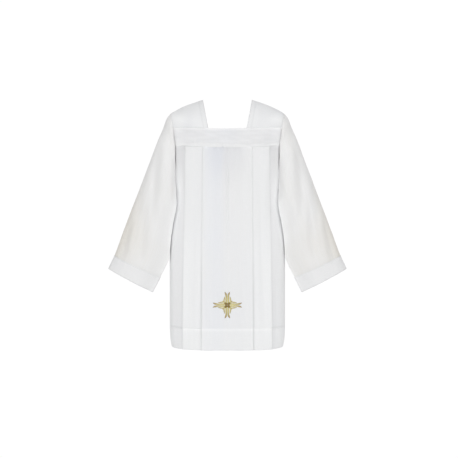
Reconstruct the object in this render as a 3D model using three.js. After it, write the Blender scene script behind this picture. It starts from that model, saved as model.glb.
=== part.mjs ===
// A square-necked surplice of white cloth, in the hollow form that it has when worn. Two yokes cross the
// chest and the back, shoulder pieces join them and leave a square neck, and a pleated panel hangs from each
// yoke.
// Wide sleeves end in sewn bands, and a cross is embroidered on the front panel.
//
// Millimetres, +Z up. The front faces -Y and the wearer's left is +X. The origin is midway between the two
// shoulder ridges at the neck, the height at which the wearer's shoulders carry the cloth.

import * as THREE from "three";

// ---------------------------------------------------------------- driving dimensions

const CLOTH = 1.2; // wall of one layer of cloth
const DOUBLED = 2.0; // wall of a doubled layer: yokes, sleeve bands, turned-up hem
const SEAM = 0.3; // gap between two pieces at a seam
const CURVED_SEAM = 0.5; // and where two curved edges of unlike facets meet
const FOLD_SEAM = 0.85; // length taken out where two walls meet round a fold, which leaves a gap of 0.3
const LAYER_AIR = 0.9; // air between the layers of a pleat

const HEM_LINE = -879; // top of the turned-up hem
const HEM_EDGE = -961; // lower edge of the garment at the middle
const SIDE_RISE = 5; // how much higher the lower edge is at the side seams
const SIDE_RISE_REACH = 62; // distance from the side seam over which it rises

const YOKE_TOP = -115; // yoke's upper edge at its ends, and how far it sags in the middle
const YOKE_TOP_SAG = 6;
const YOKE_FOOT = -184; // yoke's lower edge, likewise
const YOKE_FOOT_SAG = 10;

const NECK_HALF_AT_YOKE = 72; // half the width of the square neck
const NECK_HALF_AT_RIDGE = 95.5;

const ARMHOLE_HALF_DEPTH = 64; // half the armhole from front to back at the yoke's top
const ARMHOLE_HALF_DEPTH_LOW = 68; // and where its lower curve starts
const ARMHOLE_CURVE_TOP = -270; // height at which the armhole starts to curve to the underarm
const UNDERARM = -362;

// The body's plan section at each height: half its width and depth, and how square its corners are.
const BODY = [
  { z: -100, halfWidth: 240, halfDepth: 108, squareness: 2.4 },
  { z: -184, halfWidth: 223, halfDepth: 119, squareness: 2.5 },
  { z: -270, halfWidth: 221, halfDepth: 122, squareness: 2.5 },
  { z: -362, halfWidth: 220, halfDepth: 123, squareness: 2.5 },
  { z: -430, halfWidth: 220, halfDepth: 124, squareness: 2.6 },
  { z: -540, halfWidth: 222, halfDepth: 127, squareness: 2.7 },
  { z: -640, halfWidth: 224, halfDepth: 130, squareness: 2.8 },
  { z: -880, halfWidth: 224, halfDepth: 136, squareness: 2.8 },
  { z: -925, halfWidth: 222, halfDepth: 137, squareness: 2.8 },
  { z: -961, halfWidth: 216, halfDepth: 137, squareness: 2.8 },
];

// Pleats of half a panel, from its middle to its side: where the fold shows, at the yoke and at the hem, and
// how much cloth is folded under.
const PLEATS = [
  { atYoke: 93, atHem: 98, under: 40 },
  { atYoke: 162, atHem: 174, under: 38 },
];

// The crease pressed down the middle of a panel: its depth at each height.
const CREASE_REACH = 13;
const CREASE = [
  { z: -184, depth: 0.6 },
  { z: -300, depth: 2.6 },
  { z: -420, depth: 2.6 },
  { z: -700, depth: 0.8 },
  { z: -961, depth: 0.3 },
];

// Rows of a panel from the yoke to the lower edge. Hem rows have the turned-up cloth at their back.
const PANEL_ROWS = [
  { z: YOKE_FOOT, hem: false },
  { z: -215, hem: false },
  { z: -260, hem: false },
  { z: -300, hem: false },
  { z: -326, hem: false },
  { z: -344, hem: false },
  { z: -355, hem: false },
  { z: UNDERARM, hem: false },
  { z: -395, hem: false },
  { z: -440, hem: false },
  { z: -490, hem: false },
  { z: -545, hem: false },
  { z: -640, hem: false },
  { z: -770, hem: false },
  { z: HEM_LINE + 1, hem: false },
  { z: HEM_LINE - 1, hem: true },
  { z: -915, hem: true },
  { z: -938, hem: true },
  { z: HEM_EDGE, hem: true },
];
const SIDE_COLUMNS = 6; // columns from the outer pleat to the side

// The shoulder ridge seen from the front, from the neck to the armhole.
const RIDGE = [
  { x: NECK_HALF_AT_RIDGE, z: 0 },
  { x: 146, z: -17 },
  { x: 185, z: -33 },
  { x: 212, z: -48 },
  { x: 222, z: -55 },
];
const RIDGE_X_AT_YOKE = 209; // armhole end of the yoke's top
const ARCH_ROUNDNESS = 1.75; // 2 arches the shoulder as an ellipse, less makes it straighter
const SHOULDER_ROWS = 14;
const SHOULDER_COLUMNS = 7;
const YOKE_ROWS = 4;
const YOKE_COLUMNS = 22;

// The left sleeve's sections, from the armhole to the band's edge: the outermost point, along the top of the
// arm, the innermost point, along the fold beside the body, how far the cloth stands before and behind the
// line between them, and how far its back swings outward for each unit backward.
const SLEEVE_COLUMNS = ["at", "topX", "topY", "topZ", "foldX", "foldY", "foldZ", "before", "behind", "swing"];
const SLEEVE = [
  [0.0, 222, 0, -55, 196, -58, -318, 44, 70, 0.35],
  [0.05, 235, 0, -72, 195, -66, -345, 50, 70, 0.45],
  [0.12, 250, -1, -112, 193, -75, -385, 56, 66, 0.55],
  [0.24, 279, -3, -188, 197, -83, -428, 60, 58, 0.5],
  [0.42, 319, -6, -292, 208, -71, -480, 54, 53, 0.35],
  [0.62, 363, -9, -407, 218, -54, -546, 49, 50, 0.2],
  [0.8, 402, -12, -510, 225, -52, -612, 46, 47, 0.1],
  [0.92, 438, -14, -608, 260, -57, -690, 43, 44, 0.0],
  [1.0, 461, -15, -657, 288, -60, -746, 42, 43, 0.0],
].map((row) => Object.fromEntries(SLEEVE_COLUMNS.map((column, i) => [column, row[i]])));
const ARMHOLE_GAP = 0.9; // how far outside the armhole's edge the sleeve's edge lies
const BAND_STEP = 0.4; // how far the band's face stands out from the sleeve's
const SEAM_FADE = 0.2; // over this stretch a section turns from the armhole's shape into its own
const SLEEVE_ROUNDNESS = 2.2;
const FOLD_SHARPNESS = 2.4; // power that draws the front wall flat towards the fold beside the body
const FLAT_FROM = -0.1; // minus the cosine of the place round the section where that flattening starts
const FLAT_FULL = 0.8; // and where it is complete
const FOLD_SPREAD = 0.8; // power below 1 that spreads the columns beside the fold

// The sleeve's largest folds, troughs that hang nearly upright on its front and again on its back.
const SLEEVE_FOLDS = [
  { topX: 262, topZ: -150, footX: 296, footZ: -430, width: 17, depth: 5 },
  { topX: 318, topZ: -420, footX: 336, footZ: -640, width: 16, depth: 4.5 },
  { topX: 372, topZ: -450, footX: 412, footZ: -640, width: 15, depth: 6 },
];
const SLEEVE_ROWS = [0, 0.02, 0.05, 0.085, 0.125, 0.17, 0.22, 0.28, 0.35, 0.43, 0.52, 0.62, 0.72, 0.82, 0.92];
const BAND_ROWS = [0.9205, 0.96, 1.0]; // the band starts a seam's gap below the sleeve
const RING_POINTS = 40;
const FOLD_POINT = 24; // which of them, counted from the top by the back, lies on the fold beside the body
const BODY_CLEARANCE = 3.4; // between the middles of the sleeve's wall and the panel's
const SEAM_CLEARANCE = 1.7; // and the same at the armhole's seam
const CLEARANCE_FADE = 0.04; // over this stretch of the sleeve one turns into the other

// The embroidered cross: four forked arms. Its outline is given over one eighth of a turn, from an arm to a
// diagonal.
const CROSS_CENTRE_Z = -787;
const CROSS_HALF_WIDTH = 55;
const CROSS_HALF_HEIGHT = 51;
const CROSS_LIFT = 1.0; // from the middle of the panel's wall to the underside of the stitches
const CROSS_THICKNESS = 1.2;
const CROSS_RINGS = 4;
const CROSS_OUTLINE = [
  { degrees: 0, reach: 0.84 },
  { degrees: 7, reach: 1.0 },
  { degrees: 8.5, reach: 0.78 },
  { degrees: 12, reach: 0.6 },
  { degrees: 22, reach: 0.44 },
  { degrees: 33, reach: 0.38 },
  { degrees: 45, reach: 0.37 },
];

// ---------------------------------------------------------------- materials

const whiteCloth = { color: 0xe9eaec, roughness: 0.85, metalness: 0 };
const pressedCloth = { color: 0xf1f2f3, roughness: 0.8, metalness: 0 };
const goldThread = { color: 0xb9992f, roughness: 0.45, metalness: 0.35 };

// ---------------------------------------------------------------- tools

// A column's value at a place along a table, with an easing between its rows that never overshoots.
function along(table, key, column, place) {
  const last = table.length - 1;
  const way = Math.sign(table[last][key] - table[0][key]);
  const held = way * THREE.MathUtils.clamp(way * place, way * table[0][key], way * table[last][key]);
  const slope = (i) => (table[i + 1][column] - table[i][column]) / (table[i + 1][key] - table[i][key]);
  const tangent = (i) => {
    if (i === 0) return slope(0);
    if (i === last) return slope(last - 1);
    const before = slope(i - 1);
    const after = slope(i);
    return before * after <= 0 ? 0 : (2 * before * after) / (before + after);
  };
  let i = 0;
  while (i < last - 1 && way * (held - table[i + 1][key]) > 0) i += 1;
  const span = table[i + 1][key] - table[i][key];
  const t = (held - table[i][key]) / span;
  return (
    table[i][column] * (1 + 2 * t) * (1 - t) ** 2 +
    tangent(i) * span * t * (1 - t) ** 2 +
    table[i + 1][column] * t * t * (3 - 2 * t) -
    tangent(i + 1) * span * t * t * (1 - t)
  );
}

// A closed mesh from two grids of points, the cloth's face and its back. A ring's columns go all round.
function wallMesh(name, face, back, ring, finish) {
  const rows = face.length;
  const columns = face[0].length;
  const points = [...face.flat(), ...back.flat()];
  const at = (side, row, column) => side * rows * columns + row * columns + (column % columns);
  const triangles = [];
  const quad = (a, b, c, d) => triangles.push(a, b, c, a, c, d);
  const spans = ring ? columns : columns - 1;
  for (let row = 0; row < rows - 1; row += 1) {
    for (let column = 0; column < spans; column += 1) {
      const next = column + 1;
      quad(at(0, row, column), at(0, row + 1, column), at(0, row + 1, next), at(0, row, next));
      quad(at(1, row, column), at(1, row, next), at(1, row + 1, next), at(1, row + 1, column));
    }
    if (!ring) {
      const end = columns - 1;
      quad(at(0, row, 0), at(1, row, 0), at(1, row + 1, 0), at(0, row + 1, 0));
      quad(at(0, row, end), at(0, row + 1, end), at(1, row + 1, end), at(1, row, end));
    }
  }
  for (let column = 0; column < spans; column += 1) {
    const next = column + 1;
    const foot = rows - 1;
    quad(at(0, 0, column), at(0, 0, next), at(1, 0, next), at(1, 0, column));
    quad(at(0, foot, column), at(1, foot, column), at(1, foot, next), at(0, foot, next));
  }
  return meshOf(name, points, triangles, finish);
}

// A mesh from points and triangles, turned inside out if its faces point in.
function meshOf(name, points, triangles, finish) {
  let volume = 0;
  for (let i = 0; i < triangles.length; i += 3) {
    const [a, b, c] = [0, 1, 2].map((k) => points[triangles[i + k]]);
    volume += a.dot(new THREE.Vector3().crossVectors(b, c)) / 6;
  }
  const turned = volume < 0 ? triangles.slice().reverse() : triangles;
  const geometry = new THREE.BufferGeometry().setFromPoints(points);
  geometry.setIndex(turned);
  geometry.computeVertexNormals();
  const mesh = new THREE.Mesh(geometry, new THREE.MeshStandardMaterial(finish));
  mesh.name = name;
  return mesh;
}

// The face and the back of a smooth sheet whose middle is a grid of points.
function thickened(middle, thickness, ring, faceStep = 0) {
  const rows = middle.length;
  const columns = middle[0].length;
  const point = (row, column) => middle[THREE.MathUtils.clamp(row, 0, rows - 1)][
    ring ? (column + columns) % columns : THREE.MathUtils.clamp(column, 0, columns - 1)
  ];
  const moved = (distance) => middle.map((line, row) => line.map((p, column) => {
    const down = point(row + 1, column).clone().sub(point(row - 1, column));
    const across = point(row, column + 1).clone().sub(point(row, column - 1));
    return p.clone().addScaledVector(across.cross(down).normalize(), -distance);
  }));
  return [moved(thickness / 2 + faceStep), moved(-thickness / 2 + faceStep)];
}

const mirroredX = (grid) => grid.map((line) => line.map((p) => new THREE.Vector3(-p.x, p.y, p.z)));
const mirroredY = (grid) => grid.map((line) => line.map((p) => new THREE.Vector3(p.x, -p.y, p.z)));

// ---------------------------------------------------------------- body section

const SECTION_STEPS = 160;
const sections = new Map();

// A quarter of the body's plan section, from the middle of the front to the side, with the length along it.
function sectionAt(z) {
  if (!sections.has(z)) {
    const halfWidth = along(BODY, "z", "halfWidth", z);
    const halfDepth = along(BODY, "z", "halfDepth", z);
    const power = 2 / along(BODY, "z", "squareness", z);
    const points = [];
    let length = 0;
    for (let i = 0; i <= SECTION_STEPS; i += 1) {
      const angle = (i / SECTION_STEPS) * (Math.PI / 2);
      const x = halfWidth * Math.sin(angle) ** power;
      const y = -halfDepth * Math.max(0, Math.cos(angle)) ** power;
      if (i > 0) length += Math.hypot(x - points[i - 1].x, y - points[i - 1].y);
      points.push({ x, y, length });
    }
    sections.set(z, { points, length, halfWidth, halfDepth, power });
  }
  return sections.get(z);
}

// The two neighbouring points of the section between which a column of it reaches a value.
function spanWhere(z, column, value) {
  const { points } = sectionAt(z);
  const found = points.findIndex((p) => p[column] >= value);
  const i = found < 0 ? points.length - 1 : Math.max(1, found);
  return [points[i - 1], points[i]];
}

// The length along the section at which a column of it reaches a value.
function lengthWhere(z, column, value) {
  const [a, b] = spanWhere(z, column, value);
  return a.length + ((value - a[column]) / (b[column] - a[column])) * (b.length - a.length);
}

// The point at a length along the section, moved inward by a depth.
function onBody(z, length, depth) {
  const [a, b] = spanWhere(z, "length", length);
  const t = (length - a.length) / (b.length - a.length);
  const heading = new THREE.Vector2(b.x - a.x, b.y - a.y).normalize();
  return new THREE.Vector2(a.x + t * (b.x - a.x), a.y + t * (b.y - a.y))
    .add(new THREE.Vector2(-heading.y, heading.x).multiplyScalar(depth));
}

// ---------------------------------------------------------------- armhole

// How far before the middle the armhole's edge lies at a height below the shoulder.
function armholeDepth(z) {
  if (z > ARMHOLE_CURVE_TOP) {
    const down = (YOKE_TOP - z) / (YOKE_TOP - ARMHOLE_CURVE_TOP);
    return THREE.MathUtils.lerp(ARMHOLE_HALF_DEPTH, ARMHOLE_HALF_DEPTH_LOW, down);
  }
  const down = Math.min(1, (ARMHOLE_CURVE_TOP - z) / (ARMHOLE_CURVE_TOP - UNDERARM));
  return ARMHOLE_HALF_DEPTH_LOW * Math.sqrt(1 - down * down);
}

// The armhole's edge on the body's section at a height.
function armholeOnBody(z) {
  const { x, y } = onBody(z, lengthWhere(z, "y", -armholeDepth(z)), 0);
  return new THREE.Vector3(x, y, z);
}

// ---------------------------------------------------------------- yokes

const yokeEdge = (end, sag, x) => end - sag * Math.max(0, 1 - (x / RIDGE_X_AT_YOKE) ** 2) ** 1.5;
const yokeTop = (x) => yokeEdge(YOKE_TOP, YOKE_TOP_SAG, x);
const yokeFoot = (x) => yokeEdge(YOKE_FOOT, YOKE_FOOT_SAG, x);

// The middle of the front yoke's wall, from the wearer's right armhole to the left.
function yokeGrid() {
  const grid = [];
  for (let row = 0; row <= YOKE_ROWS; row += 1) {
    const line = [];
    for (let column = 0; column <= YOKE_COLUMNS; column += 1) {
      const across = (2 * column) / YOKE_COLUMNS - 1;
      const share = row / YOKE_ROWS;
      const height = (x) => THREE.MathUtils.lerp(yokeTop(x), yokeFoot(x) + CURVED_SEAM, share);
      const end = armholeOnBody(height(RIDGE_X_AT_YOKE)).x;
      const x = across * end;
      const z = height(x);
      const p = onBody(z, lengthWhere(z, "x", Math.abs(x)), 0);
      line.push(new THREE.Vector3(Math.sign(x) * p.x, p.y, z));
    }
    grid.push(line);
  }
  return grid;
}

// ---------------------------------------------------------------- shoulder pieces

// The middle of the left shoulder piece's wall: rows go from the back yoke over the ridge to the front yoke,
// and columns from the neck to the armhole. A turn is negative at the front.
function shoulderPoint(turn, share) {
  const ridgeX = THREE.MathUtils.lerp(NECK_HALF_AT_RIDGE, RIDGE[RIDGE.length - 1].x, share);
  const ridgeZ = along(RIDGE, "x", "z", ridgeX);
  const footX = THREE.MathUtils.lerp(NECK_HALF_AT_YOKE, armholeOnBody(YOKE_TOP).x, share);
  const footZ = yokeTop(footX) + SEAM;
  const footY = onBody(footZ, lengthWhere(footZ, "x", footX), 0).y;
  const power = 2 / ARCH_ROUNDNESS;
  const out = Math.abs(Math.sin(turn)) ** power;
  const up = Math.max(0, Math.cos(turn)) ** power;
  return new THREE.Vector3(
    THREE.MathUtils.lerp(footX, ridgeX, up),
    -Math.sign(turn) * footY * out,
    THREE.MathUtils.lerp(footZ, ridgeZ, up),
  );
}

function shoulderGrid() {
  const grid = [];
  for (let row = 0; row <= SHOULDER_ROWS; row += 1) {
    const turn = (0.5 - row / SHOULDER_ROWS) * Math.PI;
    const line = [];
    for (let column = 0; column <= SHOULDER_COLUMNS; column += 1) {
      line.push(shoulderPoint(turn, column / SHOULDER_COLUMNS));
    }
    grid.push(line);
  }
  return grid;
}

// ---------------------------------------------------------------- pleated panels

// Half of a panel's path in plan at a row, from its middle to its side, as lengths along the section and
// depths inward.
function pleatedPath(row) {
  const behind = (row.hem ? DOUBLED : CLOTH) - CLOTH / 2;
  const backToBack = 2 * behind + LAYER_AIR;
  const faceToFace = CLOTH + LAYER_AIR;
  const down = (YOKE_FOOT - row.z) / (YOKE_FOOT - HEM_EDGE);
  const crease = along(CREASE, "z", "depth", row.z);
  const path = [{ length: 0, depth: crease }, { length: CREASE_REACH, depth: 0 }];
  let level = 0;
  for (const pleat of PLEATS) {
    const edge = lengthWhere(row.z, "x", THREE.MathUtils.lerp(pleat.atYoke, pleat.atHem, down));
    const start = path[path.length - 1].length;
    const under = level + backToBack;
    const floor = under + faceToFace;
    const inner = edge - pleat.under;
    const middle = edge - pleat.under / 2;
    for (const length of [(start + inner) / 2, inner, middle, edge]) path.push({ length, depth: level });
    for (const length of [edge, middle, inner]) path.push({ length, depth: under });
    for (const length of [inner, middle, edge + behind]) path.push({ length, depth: floor });
    level = floor;
  }
  const start = path[path.length - 1].length;
  const end = row.z > UNDERARM
    ? lengthWhere(row.z, "y", -armholeDepth(row.z))
    : sectionAt(row.z).length - SEAM;
  for (let i = 1; i <= SIDE_COLUMNS; i += 1) {
    const share = i / SIDE_COLUMNS;
    path.push({
      length: THREE.MathUtils.lerp(start, end, share),
      depth: level * (1 - THREE.MathUtils.smoothstep(share, 0, 1)),
    });
  }
  return path;
}

// The height of a row at a length along the section: it sags with the yoke at the top and rises to the side
// seam.
function rowHeight(row, length) {
  const whole = sectionAt(row.z).length;
  const fromSide = (whole - length) / SIDE_RISE_REACH;
  const sag = yokeFoot(onBody(row.z, Math.min(length, whole), 0).x) - YOKE_FOOT;
  const nearYoke = 1 - THREE.MathUtils.smoothstep(YOKE_FOOT - row.z, 0, 180);
  const nearEdge = THREE.MathUtils.smoothstep(HEM_LINE - row.z, 0, HEM_LINE - HEM_EDGE);
  return row.z + sag * nearYoke + SIDE_RISE * Math.exp(-fromSide * fromSide) * nearEdge;
}

// A path's points moved sideways by a distance, with square corners kept.
function movedPath(path, distance) {
  return path.map((p, i) => {
    const before = path[Math.max(0, i - 1)];
    const after = path[Math.min(path.length - 1, i + 1)];
    const into = new THREE.Vector2(p.x - before.x, p.y - before.y).normalize();
    const out = new THREE.Vector2(after.x - p.x, after.y - p.y).normalize();
    if (i === 0) into.copy(out);
    if (i === path.length - 1) out.copy(into);
    const side = new THREE.Vector2(into.y + out.y, -into.x - out.x).divideScalar(1 + into.dot(out));
    return new THREE.Vector3(p.x + side.x * distance, p.y + side.y * distance, p.z);
  });
}

// The face and back of the front panel.
function panelGrids() {
  const face = [];
  const back = [];
  for (const row of PANEL_ROWS) {
    const half = pleatedPath(row).map(({ length, depth }) => {
      const z = rowHeight(row, length);
      const p = onBody(z, Math.min(length, sectionAt(z).length - SEAM), depth);
      return new THREE.Vector3(p.x, p.y, z);
    });
    const path = [...mirroredX([half.slice(1).reverse()])[0], ...half];
    face.push(movedPath(path, CLOTH / 2));
    back.push(movedPath(path, CLOTH / 2 - (row.hem ? DOUBLED : CLOTH)));
  }
  return [face, back];
}

// ---------------------------------------------------------------- sleeves

// Points round the left armhole's edge, from the shoulder by the back and the underarm to the front, each
// moved off the edge by the seam.
function armholeRing() {
  const front = [];
  for (let i = 0; i <= 24; i += 1) front.push(shoulderPoint(-(i / 24) * (Math.PI / 2), 1));
  for (let i = 1; i <= 24; i += 1) {
    front.push(armholeOnBody(THREE.MathUtils.lerp(YOKE_TOP, ARMHOLE_CURVE_TOP, i / 24)));
  }
  for (let i = 1; i <= 24; i += 1) {
    const down = Math.sin((i / 24) * (Math.PI / 2));
    front.push(armholeOnBody(THREE.MathUtils.lerp(ARMHOLE_CURVE_TOP, UNDERARM, down)));
  }
  const curve = new THREE.CatmullRomCurve3(front, false, "chordal");
  curve.arcLengthDivisions = 600;
  const half = curve.getSpacedPoints(RING_POINTS / 2);
  const ring = [...mirroredY([half])[0], ...half.slice(1, -1).reverse()];
  return ring.map((p) => new THREE.Vector3(p.x + ARMHOLE_GAP, p.y, p.z));
}

const ARMHOLE = armholeRing();

// How deep the sleeve's folds are at a point of it.
function sleeveFoldDepth(x, z) {
  return SLEEVE_FOLDS.reduce((depth, fold) => {
    const down = (fold.topZ - z) / (fold.topZ - fold.footZ);
    const off = (x - THREE.MathUtils.lerp(fold.topX, fold.footX, down)) / fold.width;
    const held = THREE.MathUtils.smoothstep(down, 0, 0.35) * (1 - THREE.MathUtils.smoothstep(down, 0.75, 1));
    return depth + fold.depth * held * Math.exp(-off * off);
  }, 0);
}

// A point of the left sleeve's section at a place along it, at a share of the way round.
function sleevePoint(place, index) {
  const value = (column) => along(SLEEVE, "at", column, place);
  const top = new THREE.Vector3(value("topX"), value("topY"), value("topZ"));
  const fold = new THREE.Vector3(value("foldX"), value("foldY"), value("foldZ"));
  const half = top.clone().sub(fold).multiplyScalar(0.5);
  const square = (v) => v.addScaledVector(half, -v.dot(half) / half.lengthSq()).normalize();
  const angle = index < FOLD_POINT
    ? (Math.PI * index) / FOLD_POINT
    : Math.PI * (1 + ((index - FOLD_POINT) / (RING_POINTS - FOLD_POINT)) ** FOLD_SPREAD);
  const power = 2 / SLEEVE_ROUNDNESS;
  const toFold = index < FOLD_POINT ? 0 : THREE.MathUtils.smoothstep(-Math.cos(angle), FLAT_FROM, FLAT_FULL);
  const frontPower = THREE.MathUtils.lerp(power, FOLD_SHARPNESS, toFold);
  const upward = Math.sign(Math.cos(angle)) * Math.abs(Math.cos(angle)) ** power;
  const forward = -Math.sign(Math.sin(angle)) * Math.abs(Math.sin(angle)) ** frontPower;
  const away = forward > 0
    ? square(new THREE.Vector3(0, -1, 0)).multiplyScalar(value("before"))
    : square(new THREE.Vector3(value("swing"), 1, 0)).multiplyScalar(value("behind"));
  const own = top.clone().add(fold).multiplyScalar(0.5)
    .addScaledVector(half, upward)
    .addScaledVector(away, Math.abs(forward));
  own.addScaledVector(away.normalize(), -Math.abs(forward) * sleeveFoldDepth(own.x, own.z));
  const topDrift = top.clone().sub(new THREE.Vector3(SLEEVE[0].topX, SLEEVE[0].topY, SLEEVE[0].topZ));
  const foldDrift = fold.clone()
    .sub(new THREE.Vector3(SLEEVE[0].foldX, SLEEVE[0].foldY, SLEEVE[0].foldZ));
  const withTop = index < FOLD_POINT ? 1 - (index / FOLD_POINT) ** 4 : 0.5 + 0.5 * upward;
  const seam = ARMHOLE[index].clone().add(foldDrift.lerp(topDrift, withTop));
  const turned = THREE.MathUtils.smoothstep(place, 0, SEAM_FADE);
  return clearOfBody(seam.lerp(own, turned), place);
}

// The same point, moved off the body's section if it would lie in it.
function clearOfBody(p, place) {
  const fromSeam = THREE.MathUtils.smoothstep(place, 0, CLEARANCE_FADE);
  const gap = THREE.MathUtils.lerp(SEAM_CLEARANCE, BODY_CLEARANCE, fromSeam);
  const { halfWidth, halfDepth, power } = sectionAt(p.z);
  const wide = halfWidth + gap;
  const deep = halfDepth + gap;
  const inside = (Math.abs(p.x / wide) ** (2 / power) + Math.abs(p.y / deep) ** (2 / power)) ** (power / 2);
  if (inside >= 1 || p.z > YOKE_TOP) return p;
  return new THREE.Vector3(p.x / inside, p.y / inside, p.z);
}

function sleeveGrid(places) {
  return places.map((place) => {
    const line = [];
    for (let index = 0; index < RING_POINTS; index += 1) line.push(sleevePoint(place, index));
    return line;
  });
}

// A part of a ring's grid, between two of its columns, drawn in at both ends for the seam.
function partOfRing(grid, first, last) {
  return grid.map((line) => {
    const part = [];
    for (let column = first; column <= last; column += 1) part.push(line[column % RING_POINTS].clone());
    const drawIn = (end, next) => end.addScaledVector(next.clone().sub(end).normalize(), FOLD_SEAM / 2);
    drawIn(part[0], part[1]);
    drawIn(part[part.length - 1], part[part.length - 2]);
    return part;
  });
}

// ---------------------------------------------------------------- embroidered cross

// The cross lies on the front panel's middle: each of its points is the panel's, moved out.
function crossMesh() {
  const onPanel = (x, z, lift) => {
    const p = onBody(z, lengthWhere(z, "x", Math.abs(x)), -lift);
    return new THREE.Vector3(Math.sign(x) * p.x, p.y, z);
  };
  const outline = [];
  for (let quarter = 0; quarter < 4; quarter += 1) {
    const there = CROSS_OUTLINE.slice(0, -1).map((p) => ({ ...p }));
    const back = CROSS_OUTLINE.slice(1).reverse().map((p) => ({ degrees: 90 - p.degrees, reach: p.reach }));
    for (const p of [...there, ...back]) outline.push({ degrees: 90 * quarter + p.degrees, reach: p.reach });
  }
  const points = [];
  for (const lift of [CROSS_LIFT, CROSS_LIFT + CROSS_THICKNESS]) {
    points.push(onPanel(0, CROSS_CENTRE_Z, lift));
    for (let ring = 1; ring <= CROSS_RINGS; ring += 1) {
      for (const p of outline) {
        const reach = (p.reach * ring) / CROSS_RINGS;
        const angle = THREE.MathUtils.degToRad(p.degrees);
        const x = CROSS_HALF_WIDTH * reach * Math.cos(angle);
        points.push(onPanel(x, CROSS_CENTRE_Z + CROSS_HALF_HEIGHT * reach * Math.sin(angle), lift));
      }
    }
  }
  const count = outline.length;
  const side = 1 + CROSS_RINGS * count;
  const at = (layer, ring, i) => layer * side + (ring === 0 ? 0 : 1 + (ring - 1) * count + (i % count));
  const triangles = [];
  for (let i = 0; i < count; i += 1) {
    triangles.push(at(0, 0, 0), at(0, 1, i), at(0, 1, i + 1), at(1, 0, 0), at(1, 1, i + 1), at(1, 1, i));
    for (let ring = 1; ring < CROSS_RINGS; ring += 1) {
      const [a, b] = [at(0, ring, i), at(0, ring, i + 1)];
      const [c, d] = [at(0, ring + 1, i), at(0, ring + 1, i + 1)];
      triangles.push(a, c, d, a, d, b, a + side, d + side, c + side, a + side, b + side, d + side);
    }
    const [low, lowNext] = [at(0, CROSS_RINGS, i), at(0, CROSS_RINGS, i + 1)];
    triangles.push(low, low + side, lowNext + side, low, lowNext + side, lowNext);
  }
  return meshOf("cross_embroidery", points, triangles, goldThread);
}

// ---------------------------------------------------------------- the garment

const surplice = new THREE.Group();

const [yokeFace, yokeBack] = thickened(yokeGrid(), DOUBLED, false);
surplice.add(wallMesh("front_yoke", yokeFace, yokeBack, false, pressedCloth));
surplice.add(wallMesh("back_yoke", mirroredY(yokeFace), mirroredY(yokeBack), false, pressedCloth));

const [panelFace, panelBack] = panelGrids();
surplice.add(wallMesh("front_panel", panelFace, panelBack, false, whiteCloth));
surplice.add(wallMesh("back_panel", mirroredY(panelFace), mirroredY(panelBack), false, whiteCloth));

const [shoulderFace, shoulderBack] = thickened(shoulderGrid(), CLOTH, false);
const sleeveWalls = thickened(sleeveGrid(SLEEVE_ROWS), CLOTH, true);
const sleeveHindWalls = sleeveWalls.map((wall) => partOfRing(wall, 0, FOLD_POINT));
const sleeveForeWalls = sleeveWalls.map((wall) => partOfRing(wall, FOLD_POINT, RING_POINTS));
const [bandFace, bandBack] = thickened(sleeveGrid(BAND_ROWS), DOUBLED, true, BAND_STEP);
const sides = [
  { side: "left", placed: (grid) => grid },
  { side: "right", placed: mirroredX },
];
for (const { side, placed } of sides) {
  surplice.add(wallMesh(`shoulder_${side}`, placed(shoulderFace), placed(shoulderBack), false, whiteCloth));
  const [foreFace, foreBack] = sleeveForeWalls.map(placed);
  surplice.add(wallMesh(`sleeve_front_${side}`, foreFace, foreBack, false, whiteCloth));
  const [hindFace, hindBack] = sleeveHindWalls.map(placed);
  surplice.add(wallMesh(`sleeve_back_${side}`, hindFace, hindBack, false, whiteCloth));
  surplice.add(wallMesh(`sleeve_band_${side}`, placed(bandFace), placed(bandBack), true, pressedCloth));
}

surplice.add(crossMesh());

export default surplice;
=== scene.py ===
import bmesh
import bpy
import numpy as np
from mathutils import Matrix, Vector
from mathutils.bvhtree import BVHTree


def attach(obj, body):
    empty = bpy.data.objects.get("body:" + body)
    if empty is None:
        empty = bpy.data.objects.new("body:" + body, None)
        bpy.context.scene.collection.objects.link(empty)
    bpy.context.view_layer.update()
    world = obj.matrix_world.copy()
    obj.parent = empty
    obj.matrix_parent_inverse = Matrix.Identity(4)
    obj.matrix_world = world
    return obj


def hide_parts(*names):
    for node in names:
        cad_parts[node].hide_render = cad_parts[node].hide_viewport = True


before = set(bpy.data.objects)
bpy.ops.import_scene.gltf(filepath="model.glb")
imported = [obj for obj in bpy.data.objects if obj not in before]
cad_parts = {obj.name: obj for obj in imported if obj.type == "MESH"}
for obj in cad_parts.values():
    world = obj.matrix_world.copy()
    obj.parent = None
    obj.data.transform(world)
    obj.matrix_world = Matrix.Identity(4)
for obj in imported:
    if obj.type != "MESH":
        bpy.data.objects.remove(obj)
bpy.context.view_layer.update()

# ---------------------------------------------------------------- the form that the cloth hangs in
# A worn surplice keeps a rounded section from the chest to the hem. The cut of every piece follows that section, so
# each place on the garment is a height and a length round from the middle of the front.

MM = 0.001
BODY = {
    "z": [-100, -184, -270, -362, -430, -540, -640, -880, -925, -961],
    "half_width": [240, 223, 221, 220, 220, 222, 224, 224, 222, 216],
    "half_depth": [108, 119, 122, 123, 124, 127, 130, 136, 137, 137],
    "squareness": [2.4, 2.5, 2.5, 2.5, 2.6, 2.7, 2.8, 2.8, 2.8, 2.8],
}
HEM_EDGE = -961
SECTION_STEP = 3.0
SECTION_HEIGHTS = np.arange(HEM_EDGE - 2 * SECTION_STEP, SECTION_STEP, SECTION_STEP)
SECTION_ANGLES = np.linspace(0, np.pi / 2, 400)
SECTION_SHARES = np.linspace(0, 1, 300)


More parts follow.
